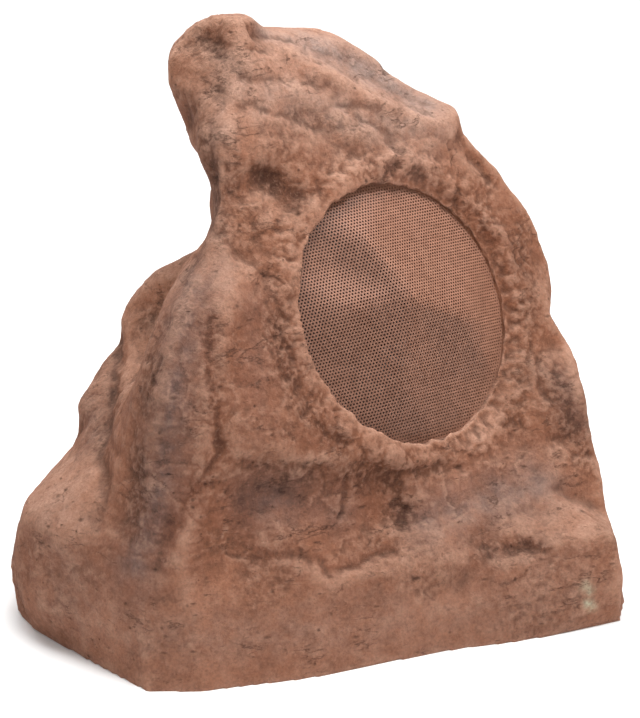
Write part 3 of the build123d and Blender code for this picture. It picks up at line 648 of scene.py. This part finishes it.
def thinInside(rock, outer, plan):
    # fewer faces on the inside of the wall, which stays hidden
    group = rock.vertex_groups.new(name="inside")
    group.add(np.where(~outer)[0].tolist(), 1.0, "REPLACE")
    outerFaces = sum(1 for face in rock.data.polygons if outer[face.vertices[0]])
    wanted = 2 * outerFaces + plan["innerTriangles"]
    thin = rock.modifiers.new("thinInside", "DECIMATE")
    thin.vertex_group = group.name
    thin.ratio = min(1.0, wanted / (2 * len(rock.data.polygons)))
    finishedMesh(rock)
    rock.vertex_groups.clear()
    triangles = countTriangles(rock.data)
    print("rock after thinning the inside:", triangles, "triangles")
    if triangles > plan["triangles"]:
        even = rock.modifiers.new("evenOut", "DECIMATE")
        even.ratio = plan["triangles"] / triangles
        finishedMesh(rock)
    clearFlaps(rock.data, plan["flapGap"])
    for face in rock.data.polygons:
        face.use_smooth = True
    print("rock:", countTriangles(rock.data), "triangles")


thinInside(rock, rockOuter, rockPlan)

# grille: a pressed sheet full of small holes, folded like the sheet that it stands for
grillePlan = {
    "pitch": 2.2 * mm,
    "web": 1.12 * mm,
    "sheet": 0.8 * mm,
    "reach": 82.4 * mm,
    "doublings": 7,
    "merge": 0.02 * mm,
    "hemRadii": (80.6 * mm, 83.0 * mm),
    "hemHeights": (-0.7 * mm, 0.3 * mm),
    "hemSteps": 96,
    # the folded form, in millimetres: peak, then angle, distance and height of each fold
    "peak": (2.0, 8.0, 17.0),
    "folds": [
        (108.0, 52.0, 10.0),
        (52.0, 50.0, 5.0),
        (-14.0, 44.0, 13.0),
        (-66.0, 52.0, 5.0),
        (-112.0, 48.0, 9.0),
        (-158.0, 54.0, 3.5),
        (170.0, 46.0, 9.5),
        (140.0, 56.0, 3.5),
    ],
    "edgeRadius": 80.0,
    "outside": 100.0,
    "roundedFold": 6.0,
    "castFrom": 100.0,
}


def polar(angle, distance, height):
    return Vector((distance * math.cos(angle), distance * math.sin(angle), height)) * mm


def foldedForm(plan):
    # the peak, the folds round it and the flat edge, as one folded fan of flats
    bm = bmesh.new()
    peak = bm.verts.new(Vector(plan["peak"]) * mm)
    count = len(plan["folds"])
    folds, edges, far = [], [], []
    for i, (angle, distance, height) in enumerate(plan["folds"]):
        following = plan["folds"][(i + 1) % count][0]
        middle = angle - ((angle - following) % 360) / 2
        folds.append(bm.verts.new(polar(math.radians(angle), distance, height)))
        for turn in (angle, middle):
            edges.append(bm.verts.new(polar(math.radians(turn), plan["edgeRadius"], 0.0)))
            far.append(bm.verts.new(polar(math.radians(turn), plan["outside"], 0.0)))
    for i in range(count):
        fold, nextFold = folds[i], folds[(i + 1) % count]
        edge, middle, nextEdge = edges[2 * i], edges[2 * i + 1], edges[(2 * i + 2) % (2 * count)]
        bm.faces.new((peak, nextFold, fold))
        bm.faces.new((fold, middle, edge))
        bm.faces.new((fold, nextFold, middle))
        bm.faces.new((nextFold, nextEdge, middle))
    for i in range(2 * count):
        j = (i + 1) % (2 * count)
        bm.faces.new((edges[i], edges[j], far[j], far[i]))
    form = BVHTree.FromBMesh(bm)
    bm.free()
    return form


def repeatShape(bm, step, doublings):
    for doubling in range(doublings):
        copy = bmesh.ops.duplicate(bm, geom=bm.verts[:] + bm.edges[:] + bm.faces[:])["geom"]
        fresh = [item for item in copy if isinstance(item, bmesh.types.BMVert)]
        bmesh.ops.translate(bm, verts=fresh, vec=step * 2 ** doubling)


def makeGrille(plan):
    bm = bmesh.new()
    pitch = plan["pitch"]
    bmesh.ops.create_circle(bm, cap_ends=True, segments=6, radius=pitch / math.sqrt(3))
    bmesh.ops.inset_individual(bm, faces=bm.faces[:], thickness=plan["web"] / 2)
    hole = min(bm.faces, key=lambda face: face.calc_center_median().length)
    bmesh.ops.delete(bm, geom=[hole], context="FACES_ONLY")
    across = Vector((pitch, 0.0, 0.0))
    along = Vector((pitch / 2, pitch * math.cos(math.radians(30)), 0.0))
    repeatShape(bm, across, plan["doublings"])
    repeatShape(bm, along, plan["doublings"])
    half = (2 ** plan["doublings"] - 1) / 2
    bmesh.ops.translate(bm, verts=bm.verts, vec=-(across + along) * half)
    outside = [face for face in bm.faces if face.calc_center_median().length > plan["reach"]]
    bmesh.ops.delete(bm, geom=outside, context="FACES")
    bmesh.ops.remove_doubles(bm, verts=bm.verts, dist=plan["merge"])
    # the sheet is laid on the folded form, each point at the mean of seven, so that the folds are round
    form = foldedForm(plan)
    down = Vector((0, 0, -1))
    around = [polar(math.radians(60 * i), plan["roundedFold"], plan["castFrom"]) for i in range(6)]
    around.append(Vector((0, 0, plan["castFrom"] * mm)))
    for vert in bm.verts:
        vert.co.z = sum(form.ray_cast(vert.co + step, down)[0].z for step in around) / len(around)
    bmesh.ops.recalc_face_normals(bm, faces=bm.faces)
    if sum(face.normal.z for face in bm.faces) < 0:
        bmesh.ops.reverse_faces(bm, faces=bm.faces)
    bmesh.ops.solidify(bm, geom=bm.faces[:], thickness=-plan["sheet"])
    # plain hem round the edge, a turned ring
    inner, outer = plan["hemRadii"]
    low, high = plan["hemHeights"]
    corners = [(inner, low), (outer, low), (outer, high), (inner, high)]
    ring = [bm.verts.new((distance, 0.0, height)) for distance, height in corners]
    sides = [bm.edges.new((ring[i], ring[(i + 1) % 4])) for i in range(4)]
    bmesh.ops.spin(
        bm,
        geom=ring + sides,
        cent=(0, 0, 0),
        axis=(0, 0, 1),
        angle=math.tau,
        steps=plan["hemSteps"],
        use_merge=True,
    )
    bmesh.ops.recalc_face_normals(bm, faces=bm.faces)
    if bm.calc_volume(signed=True) < 0:
        bmesh.ops.reverse_faces(bm, faces=bm.faces)
    seat = faceFrame @ Matrix.Translation((0, 0, -facePlan["seatDepth"]))
    bmesh.ops.transform(bm, matrix=seat, verts=bm.verts)
    mesh = bpy.data.meshes.new("grilleSheet")
    bm.to_mesh(mesh)
    bm.free()
    print("grille:", countTriangles(mesh), "triangles")
    return linkMesh("grilleSheet", mesh)


grille = makeGrille(grillePlan)


# shader helpers
def newGroup(name, inputs, outputs):
    group = bpy.data.node_groups.new(name, "ShaderNodeTree")
    for label, kind, value in inputs:
        socket = group.interface.new_socket(label, in_out="INPUT", socket_type=kind)
        socket.default_value = value
    for label, kind in outputs:
        group.interface.new_socket(label, in_out="OUTPUT", socket_type=kind)
    return group, group.nodes.new("NodeGroupInput"), group.nodes.new("NodeGroupOutput")


def mathNode(tree, operation, first, second=None, clamp=False):
    node = tree.nodes.new("ShaderNodeMath")
    node.operation = operation
    node.use_clamp = clamp
    for socket, value in zip(node.inputs, (first, second)):
        if isinstance(value, (int, float)):
            socket.default_value = value
        elif value is not None:
            tree.links.new(value, socket)
    return node.outputs[0]


def mixColour(tree, share, first, second, blend="MIX"):
    node = tree.nodes.new("ShaderNodeMix")
    node.data_type = "RGBA"
    node.blend_type = blend
    for socket, value in ((node.inputs[0], share), (node.inputs[6], first), (node.inputs[7], second)):
        if isinstance(value, (int, float)):
            socket.default_value = value
        elif isinstance(value, tuple):
            socket.default_value = (*value, 1.0)
        else:
            tree.links.new(value, socket)
    return node.outputs[2]


def remap(tree, value, low, high, toLow=0.0, toHigh=1.0):
    node = tree.nodes.new("ShaderNodeMapRange")
    node.interpolation_type = "SMOOTHSTEP"
    tree.links.new(value, node.inputs["Value"])
    for label, number in (("From Min", low), ("From Max", high), ("To Min", toLow), ("To Max", toHigh)):
        node.inputs[label].default_value = number
    return node.outputs[0]


def noiseNode(tree, place, scale, detail, rough):
    node = tree.nodes.new("ShaderNodeTexNoise")
    node.inputs["Scale"].default_value = scale
    node.inputs["Detail"].default_value = detail
    node.inputs["Roughness"].default_value = rough
    tree.links.new(place, node.inputs["Vector"])
    return node.outputs["Fac"]


def turnedPlace(tree, place, stretch, turn):
    node = tree.nodes.new("ShaderNodeMapping")
    node.inputs["Scale"].default_value = stretch
    node.inputs["Rotation"].default_value = turn
    tree.links.new(place, node.inputs["Vector"])
    return node.outputs[0]


def grainGroup():
    # fine grain: a broad mottle and a fine height, from the place on the piece
    group, given, result = newGroup(
        "fineGrain",
        [("Vector", "NodeSocketVector", (0, 0, 0)), ("Scale", "NodeSocketFloat", 200.0)],
        [("Mottle", "NodeSocketFloat"), ("Height", "NodeSocketFloat")],
    )
    for label, factor, detail in (("Mottle", 0.22, 3.0), ("Height", 1.0, 5.0)):
        texture = group.nodes.new("ShaderNodeTexNoise")
        texture.inputs["Detail"].default_value = detail
        group.links.new(given.outputs["Vector"], texture.inputs["Vector"])
        group.links.new(mathNode(group, "MULTIPLY", given.outputs["Scale"], factor), texture.inputs["Scale"])
        group.links.new(texture.outputs["Fac"], result.inputs[label])
    return group


def pitGroup():
    # scattered pits: a share of the cells hold a small dent, of different sizes
    group, given, result = newGroup(
        "scatteredPits",
        [
            ("Vector", "NodeSocketVector", (0, 0, 0)),
            ("Scale", "NodeSocketFloat", 100.0),
            ("Share", "NodeSocketFloat", 0.3),
            ("Size", "NodeSocketFloat", 0.25),
        ],
        [("Pits", "NodeSocketFloat")],
    )
    cells = group.nodes.new("ShaderNodeTexVoronoi")
    group.links.new(given.outputs["Vector"], cells.inputs["Vector"])
    group.links.new(given.outputs["Scale"], cells.inputs["Scale"])
    pick = group.nodes.new("ShaderNodeSeparateColor")
    group.links.new(cells.outputs["Color"], pick.inputs[0])
    chosen = mathNode(group, "LESS_THAN", pick.outputs[0], given.outputs["Share"])
    smallest = 0.4  # as a share of the given size; the largest is 1 more
    varied = mathNode(group, "ADD", pick.outputs[1], smallest)
    size = mathNode(group, "MULTIPLY", given.outputs["Size"], varied)
    away = mathNode(group, "DIVIDE", cells.outputs["Distance"], size)
    near = mathNode(group, "SUBTRACT", 1.0, away, clamp=True)
    group.links.new(mathNode(group, "MULTIPLY", chosen, near), result.inputs["Pits"])
    return group


fineGrain, scatteredPits = grainGroup(), pitGroup()


def useGroup(tree, group, place, **values):
    node = tree.nodes.new("ShaderNodeGroup")
    node.node_tree = group
    tree.links.new(place, node.inputs["Vector"])
    for label, value in values.items():
        node.inputs[label].default_value = value
    return node


def newMaterial(name):
    material = bpy.data.materials.new(name)
    material.use_nodes = True
    tree = material.node_tree
    shader = tree.nodes["Principled BSDF"]
    place = tree.nodes.new("ShaderNodeTexCoord").outputs["Object"]
    return material, tree, shader, place


def bumpNode(tree, height, strength, distance, under=None):
    node = tree.nodes.new("ShaderNodeBump")
    node.inputs["Strength"].default_value = strength
    node.inputs["Distance"].default_value = distance
    tree.links.new(height, node.inputs["Height"])
    if under is not None:
        tree.links.new(under, node.inputs["Normal"])
    return node.outputs["Normal"]


rockLook = {
    "colours": {
        "clay": (0.205, 0.075, 0.038),
        "tan": (0.285, 0.115, 0.063),
        # painted highlight: on faces turned upward, on crests and on the tops of the grain
        "highlight": (0.500, 0.285, 0.200),
        "ash": (0.135, 0.088, 0.078),
        "haze": (0.320, 0.235, 0.205),
        # painted light
        "pale": (0.400, 0.265, 0.210),
        # painted shade: in hollows, creases, cracks, lumps and the low places of the grain
        "soot": (0.062, 0.028, 0.019),
        # painted shade, reddish
        "rust": (0.150, 0.045, 0.020),
        # painted shade inside the pits
        "pitShade": (0.050, 0.021, 0.014),
        "chip": (0.56, 0.54, 0.38),
        "grainDark": (0.30, 0.30, 0.30),
        "grainLight": (0.72, 0.70, 0.68),
    },
    # scale, detail and roughness of each noise
    "noises": {
        "mottle": (24.0, 4.0, 0.55),
        "broken": (85.0, 6.0, 0.65),
        "lumpy": (150.0, 8.0, 0.68),
        "streaks": (330.0, 4.0, 0.6),
        "granular": (400.0, 6.0, 0.7),
        "fine": (640.0, 5.0, 0.62),
        "layers": (52.0, 7.0, 0.62),
        "cracked": (38.0, 3.0, 0.55),
    },
    # stretch and turn of the drawn-out patterns
    "turns": {
        "streaks": ((1.0, 1.0, 0.24), (0.12, 0.22, 0.0)),
        "layers": ((0.4, 0.4, 1.5), (0.2, 0.3, 0.0)),
        "dashes": ((0.45, 0.7, 1.3), (0.3, 0.5, 0.4)),
    },
    # low and high of a value, and what they become
    "spreads": {
        "mottle": (0.3, 0.7),
        "upward": (0.3, 1.0),
        # how the broken noise spreads the painted light on faces turned upward
        "topLight": (0.25, 0.7, 0.35, 0.9),
        # painted shade in the low places of the lumps and the grain, and a painted highlight on the grain's
        # tops
        "lumpShade": (0.28, 0.52, 0.3, 0.0),
        "grainShade": (0.34, 0.5, 0.5, 0.0),
        "grainHighlight": (0.52, 0.68, 0.0, 0.3),
        "cracked": (0.5, 0.6),
        "crackWidth": (0.0, 0.013, 1.0, 0.0),
        "sunk": (0.1, 0.8, 0.0, 0.5),
        "fine": (0.3, 0.7),
        "roughness": (0.2, 0.8, 0.78, 0.95),
    },
    # paint in this order: mask, colour, strength, low and high of the broken noise
    "brushes": [
        ("ash", "ash", 0.85, 0.25, 0.7),
        ("haze", "haze", 0.85, 0.25, 0.7),
        ("rust", "rust", 0.75, 0.3, 0.7),
        ("soot", "soot", 0.7, 0.3, 0.7),
        ("pale", "pale", 0.8, 0.3, 0.7),
        # painted shade in the hollows and a painted highlight on the crests
        ("hollowShade", "soot", 0.6, 0.2, 0.75),
        ("crestHighlight", "highlight", 0.5, 0.35, 0.7),
        ("chip", "chip", 0.9, 0.4, 0.6),
    ],
    "brushRange": (0.45, 1.15),
    "grainShares": (0.6, 0.4),  # more in the rough places, and everywhere
    "pits": {"Scale": 230.0, "Share": 0.07, "Size": 0.3},
    "dashes": {"Scale": 250.0, "Share": 0.06, "Size": 0.36},
    # how dark the painted shade in the cracks is
    "crackShade": 0.55,
    "fineShare": 0.28,
    "gloss": 0.15,
    # strength and height of each bump
    "bumps": {
        "lumpy": (0.7, 2.0 * mm),
        "streaks": (0.8, 1.6 * mm),
        "granular": (1.0, 3.6 * mm),
        "fine": (0.45, 0.6 * mm),
        "cracks": (0.7, 1.2 * mm),
        "sunk": (0.8, 1.6 * mm),
    },
}


def rockMaterial(look):
    material, tree, shader, place = newMaterial("paintedStone")
    colours, noises, turns = look["colours"], look["noises"], look["turns"]
    spreads, bumps = look["spreads"], look["bumps"]

    def layer(kind):
        node = tree.nodes.new("ShaderNodeAttribute")
        node.attribute_name = kind
        return node.outputs["Fac"]

    def times(first, second, clamp=False):
        return mathNode(tree, "MULTIPLY", first, second, clamp)

    def spread(value, kind):
        return remap(tree, value, *spreads[kind])

    broken = noiseNode(tree, place, *noises["broken"])
    fine = noiseNode(tree, place, *noises["fine"])
    granular = noiseNode(tree, place, *noises["granular"])
    lumpy = noiseNode(tree, place, *noises["lumpy"])
    streaks = noiseNode(tree, turnedPlace(tree, place, *turns["streaks"]), *noises["streaks"])
    mottle = spread(noiseNode(tree, place, *noises["mottle"]), "mottle")
    colour = mixColour(tree, mottle, colours["clay"], colours["tan"])
    # painted light: faces turned upward are lighter, as if lit from above
    facing = tree.nodes.new("ShaderNodeSeparateXYZ")
    tree.links.new(tree.nodes.new("ShaderNodeNewGeometry").outputs["Normal"], facing.inputs[0])
    topLight = times(spread(facing.outputs["Z"], "upward"), spread(broken, "topLight"))
    colour = mixColour(tree, topLight, colour, colours["highlight"])
    for kind, paint, strength, low, high in look["brushes"]:
        brushed = times(layer(kind), remap(tree, broken, low, high, *look["brushRange"]))
        colour = mixColour(tree, times(brushed, strength, clamp=True), colour, colours[paint])
    # painted shade in the low places of the lumpy bump
    colour = mixColour(tree, spread(lumpy, "lumpShade"), colour, colours["soot"])
    # grain, with painted shade in its hollows and a painted highlight on its tops
    more, everywhere = look["grainShares"]
    grainy = mathNode(tree, "ADD", times(layer("rough"), more), everywhere, clamp=True)
    colour = mixColour(tree, times(spread(granular, "grainShade"), grainy), colour, colours["soot"])
    colour = mixColour(tree, times(spread(granular, "grainHighlight"), grainy), colour, colours["highlight"])
    # thin cracks along the layers of the stone, here and there, darkened with painted shade
    layers = noiseNode(tree, turnedPlace(tree, place, *turns["layers"]), *noises["layers"])
    middle = 0.5  # of the noise, where the cracks run
    away = mathNode(tree, "ABSOLUTE", mathNode(tree, "SUBTRACT", layers, middle))
    cracked = spread(noiseNode(tree, place, *noises["cracked"]), "cracked")
    cracks = times(spread(away, "crackWidth"), cracked)
    colour = mixColour(tree, times(cracks, look["crackShade"]), colour, colours["soot"])
    # round pits and drawn-out ones, darkened inside with painted shade
    pits = useGroup(tree, scatteredPits, place, **look["pits"]).outputs["Pits"]
    drawnOut = turnedPlace(tree, place, *turns["dashes"])
    dashes = useGroup(tree, scatteredPits, drawnOut, **look["dashes"]).outputs["Pits"]
    sunk = mathNode(tree, "MAXIMUM", pits, dashes)
    colour = mixColour(tree, spread(sunk, "sunk"), colour, colours["pitShade"])
    speckle = mixColour(tree, spread(fine, "fine"), colours["grainDark"], colours["grainLight"])
    colour = mixColour(tree, look["fineShare"], colour, speckle, "OVERLAY")
    tree.links.new(colour, shader.inputs["Base Color"])
    tree.links.new(spread(broken, "roughness"), shader.inputs["Roughness"])
    shader.inputs["Specular IOR Level"].default_value = look["gloss"]
    normal = bumpNode(tree, lumpy, *bumps["lumpy"])
    normal = bumpNode(tree, times(streaks, layer("rough")), *bumps["streaks"], normal)
    normal = bumpNode(tree, times(granular, grainy), *bumps["granular"], normal)
    normal = bumpNode(tree, fine, *bumps["fine"], normal)
    normal = bumpNode(tree, mathNode(tree, "SUBTRACT", 1.0, cracks), *bumps["cracks"], normal)
    normal = bumpNode(tree, mathNode(tree, "SUBTRACT", 1.0, sunk), *bumps["sunk"], normal)
    tree.links.new(normal, shader.inputs["Normal"])
    return material


rock.data.materials.append(rockMaterial(rockLook))


# plain finishes of the pieces inside: colour, second colour, roughness, metal, grain scale, bump
finishes = {
    "closedFoam": ((0.030, 0.030, 0.032), (0.050, 0.050, 0.052), 0.95, 0.0, 1400.0, 0.5),
    "blackEnamel": ((0.022, 0.022, 0.024), (0.035, 0.035, 0.038), 0.38, 0.0, 700.0, 0.12),
    "rollRubber": ((0.018, 0.018, 0.019), (0.028, 0.028, 0.029), 0.62, 0.0, 900.0, 0.15),
    "mouldedCone": ((0.045, 0.045, 0.048), (0.070, 0.070, 0.074), 0.48, 0.0, 260.0, 0.25),
    "bareFormer": ((0.560, 0.500, 0.430), (0.640, 0.590, 0.520), 0.35, 0.9, 500.0, 0.1),
    "dippedCloth": ((0.420, 0.270, 0.080), (0.560, 0.390, 0.140), 0.85, 0.0, 1300.0, 0.6),
    "zincPlate": ((0.520, 0.520, 0.500), (0.640, 0.640, 0.610), 0.36, 1.0, 300.0, 0.1),
    "ferriteStone": ((0.055, 0.055, 0.060), (0.085, 0.085, 0.090), 0.70, 0.0, 650.0, 0.35),
    "blackMoulding": ((0.025, 0.025, 0.026), (0.042, 0.042, 0.044), 0.50, 0.0, 800.0, 0.2),
    "coatedCloth": ((0.050, 0.050, 0.058), (0.085, 0.085, 0.095), 0.70, 0.0, 1800.0, 0.5),
    "blackenedSteel": ((0.120, 0.120, 0.125), (0.200, 0.200, 0.205), 0.42, 0.9, 900.0, 0.15),
    "tagBoard": ((0.260, 0.150, 0.060), (0.380, 0.240, 0.110), 0.60, 0.0, 600.0, 0.2),
    "grommetRubber": ((0.020, 0.020, 0.020), (0.034, 0.034, 0.034), 0.75, 0.0, 1100.0, 0.3),
    "naturalNylon": ((0.620, 0.600, 0.540), (0.740, 0.720, 0.660), 0.45, 0.0, 700.0, 0.1),
    "boardLaminate": ((0.050, 0.170, 0.075), (0.085, 0.240, 0.110), 0.40, 0.0, 1600.0, 0.2),
    "windingCopper": ((0.520, 0.220, 0.090), (0.720, 0.360, 0.180), 0.32, 0.9, 450.0, 0.3),
    "shrunkSleeve": ((0.035, 0.050, 0.160), (0.055, 0.075, 0.220), 0.28, 0.0, 500.0, 0.08),
    "castCement": ((0.600, 0.590, 0.550), (0.780, 0.770, 0.730), 0.90, 0.0, 900.0, 0.5),
    "blockMoulding": ((0.040, 0.190, 0.110), (0.065, 0.250, 0.150), 0.45, 0.0, 800.0, 0.12),
}


finishSpread = {"mottle": (0.3, 0.7), "gloss": (0.25, 0.75), "glossVaries": 0.06, "bumpHeight": 0.4 * mm}


def plainMaterial(name, first, second, rough, metal, scale, bump):
    material, tree, shader, place = newMaterial(name)
    grain = useGroup(tree, fineGrain, place, Scale=scale)
    mottle = grain.outputs["Mottle"]
    colour = mixColour(tree, remap(tree, mottle, *finishSpread["mottle"]), first, second)
    varies = finishSpread["glossVaries"]
    gloss = remap(tree, mottle, *finishSpread["gloss"], rough - varies, rough + varies)
    normal = bumpNode(tree, grain.outputs["Height"], bump, finishSpread["bumpHeight"])
    tree.links.new(colour, shader.inputs["Base Color"])
    tree.links.new(gloss, shader.inputs["Roughness"])
    tree.links.new(normal, shader.inputs["Normal"])
    shader.inputs["Metallic"].default_value = metal
    return material


looks = {name: plainMaterial(name, *values) for name, values in finishes.items()}


# grille's paint: a plain finish, with painted light and shade on its folds, lighter where they face up and
# to the right
facetLightPlan = {
    "finish": ((0.205, 0.094, 0.060), (0.255, 0.124, 0.083), 0.55, 0.1, 900.0, 0.15),
    "fromRight": 0.7,
    "fromAbove": 0.7,
    "turned": (-0.2, 0.18),
    "away": (0.80, 0.75, 0.69),
    "towards": (1.2, 1.11, 1.0),
}


def facetShadedMaterial(name, plan):
    # painted shade: the folds turned away from the light above and to the right are darker, and those facing
    # it lighter
    material = plainMaterial(name, *plan["finish"])
    tree = material.node_tree
    shader = tree.nodes["Principled BSDF"]
    turned = tree.nodes.new("ShaderNodeVectorMath")
    turned.operation = "DOT_PRODUCT"
    turned.inputs[1].default_value = faceRight * plan["fromRight"] + faceUp * plan["fromAbove"]
    tree.links.new(tree.nodes.new("ShaderNodeNewGeometry").outputs["Normal"], turned.inputs[0])
    facetLit = remap(tree, turned.outputs["Value"], *plan["turned"])
    shade = mixColour(tree, facetLit, plan["away"], plan["towards"])
    painted = shader.inputs["Base Color"].links[0].from_socket
    tree.links.new(mixColour(tree, 1.0, painted, shade, "MULTIPLY"), shader.inputs["Base Color"])
    return material


grille.data.materials.append(facetShadedMaterial("facetShadedMesh", facetLightPlan))
nodeFinishes = {
    "driver_gasket": "closedFoam",
    "base_gasket": "closedFoam",
    "woofer_basket": "blackEnamel",
    "woofer_surround": "rollRubber",
    "woofer_cone": "mouldedCone",
    "voice_coil": "bareFormer",
    "woofer_spider": "dippedCloth",
    "magnet_top_plate": "zincPlate",
    "pole_plate": "zincPlate",
    "ferrite_magnet": "ferriteStone",
    "tweeter_post": "blackMoulding",
    "tweeter_housing": "blackMoulding",
    "tweeter_dome": "coatedCloth",
    "driver_screws": "blackenedSteel",
    "base_screws": "blackenedSteel",
    "board_screws": "blackenedSteel",
    "driver_terminals": "tagBoard",
    "base_plate": "blackMoulding",
    "cable_grommet": "grommetRubber",
    "board_spacers": "naturalNylon",
    "crossover_board": "boardLaminate",
    "crossover_coil": "windingCopper",
    "crossover_capacitors": "shrunkSleeve",
    "crossover_resistor": "castCement",
    "terminal_block": "blockMoulding",
}
for node, finish in nodeFinishes.items():
    nodes[node].data.materials.clear()
    nodes[node].data.materials.append(looks[finish])
print("materials:", len(bpy.data.materials))

for piece, node, slot in ((rock, "rock_shell", "rock"), (grille, "grille", "grille")):
    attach(piece, "housing")
    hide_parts(node)

# plain pale floor and soft studio light
studioPlan = {
    "floor": 8.0,
    "floorColour": (0.96, 0.96, 0.96),
    "floorRough": 0.9,
    "sky": 0.45,
    # name, place, size and power of each lamp
    "lamps": [
        ("keyLamp", (1.4, -0.9, 2.1), 0.5, 30.0),
        ("topLamp", (0.0, -0.25, 1.3), 0.6, 11.0),
        ("roofLamp", (-0.2, 0.1, 2.6), 1.4, 16.0),
        ("fillLamp", (-1.8, -2.0, 1.3), 1.8, 9.0),
        ("backLamp", (0.2, 2.2, 2.0), 1.6, 18.0),
        ("floorLamp", (0.0, 3.6, 3.6), 2.6, 60.0),
    ],
}


def makeStudio(plan):
    bm = bmesh.new()
    bmesh.ops.create_grid(bm, x_segments=1, y_segments=1, size=plan["floor"])
    mesh = bpy.data.meshes.new("studioFloor")
    bm.to_mesh(mesh)
    bm.free()
    floor = linkMesh("studioFloor", mesh)
    material, shader = newMaterial("floorPaper")[0::2]
    shader.inputs["Roughness"].default_value = plan["floorRough"]
    shader.inputs["Base Color"].default_value = (*plan["floorColour"], 1.0)
    mesh.materials.append(material)
    world = bpy.data.worlds.new("softRoom")
    world.use_nodes = True
    sky = world.node_tree.nodes["Background"]
    sky.inputs["Color"].default_value = (1.0, 1.0, 1.0, 1.0)
    sky.inputs["Strength"].default_value = plan["sky"]
    scene.world = world
    middle = Vector(cameraPlan["target"])
    for name, spot, size, power in plan["lamps"]:
        lamp = bpy.data.lights.new(name, "AREA")
        lamp.shape = "DISK"
        lamp.size = size
        lamp.energy = power
        stand = bpy.data.objects.new(name, lamp)
        stand.location = spot
        stand.rotation_euler = (middle - Vector(spot)).to_track_quat("-Z", "Y").to_euler()
        scene.collection.objects.link(stand)
    scene.view_settings.view_transform = "Standard"


makeStudio(studioPlan)
print("studio ready")
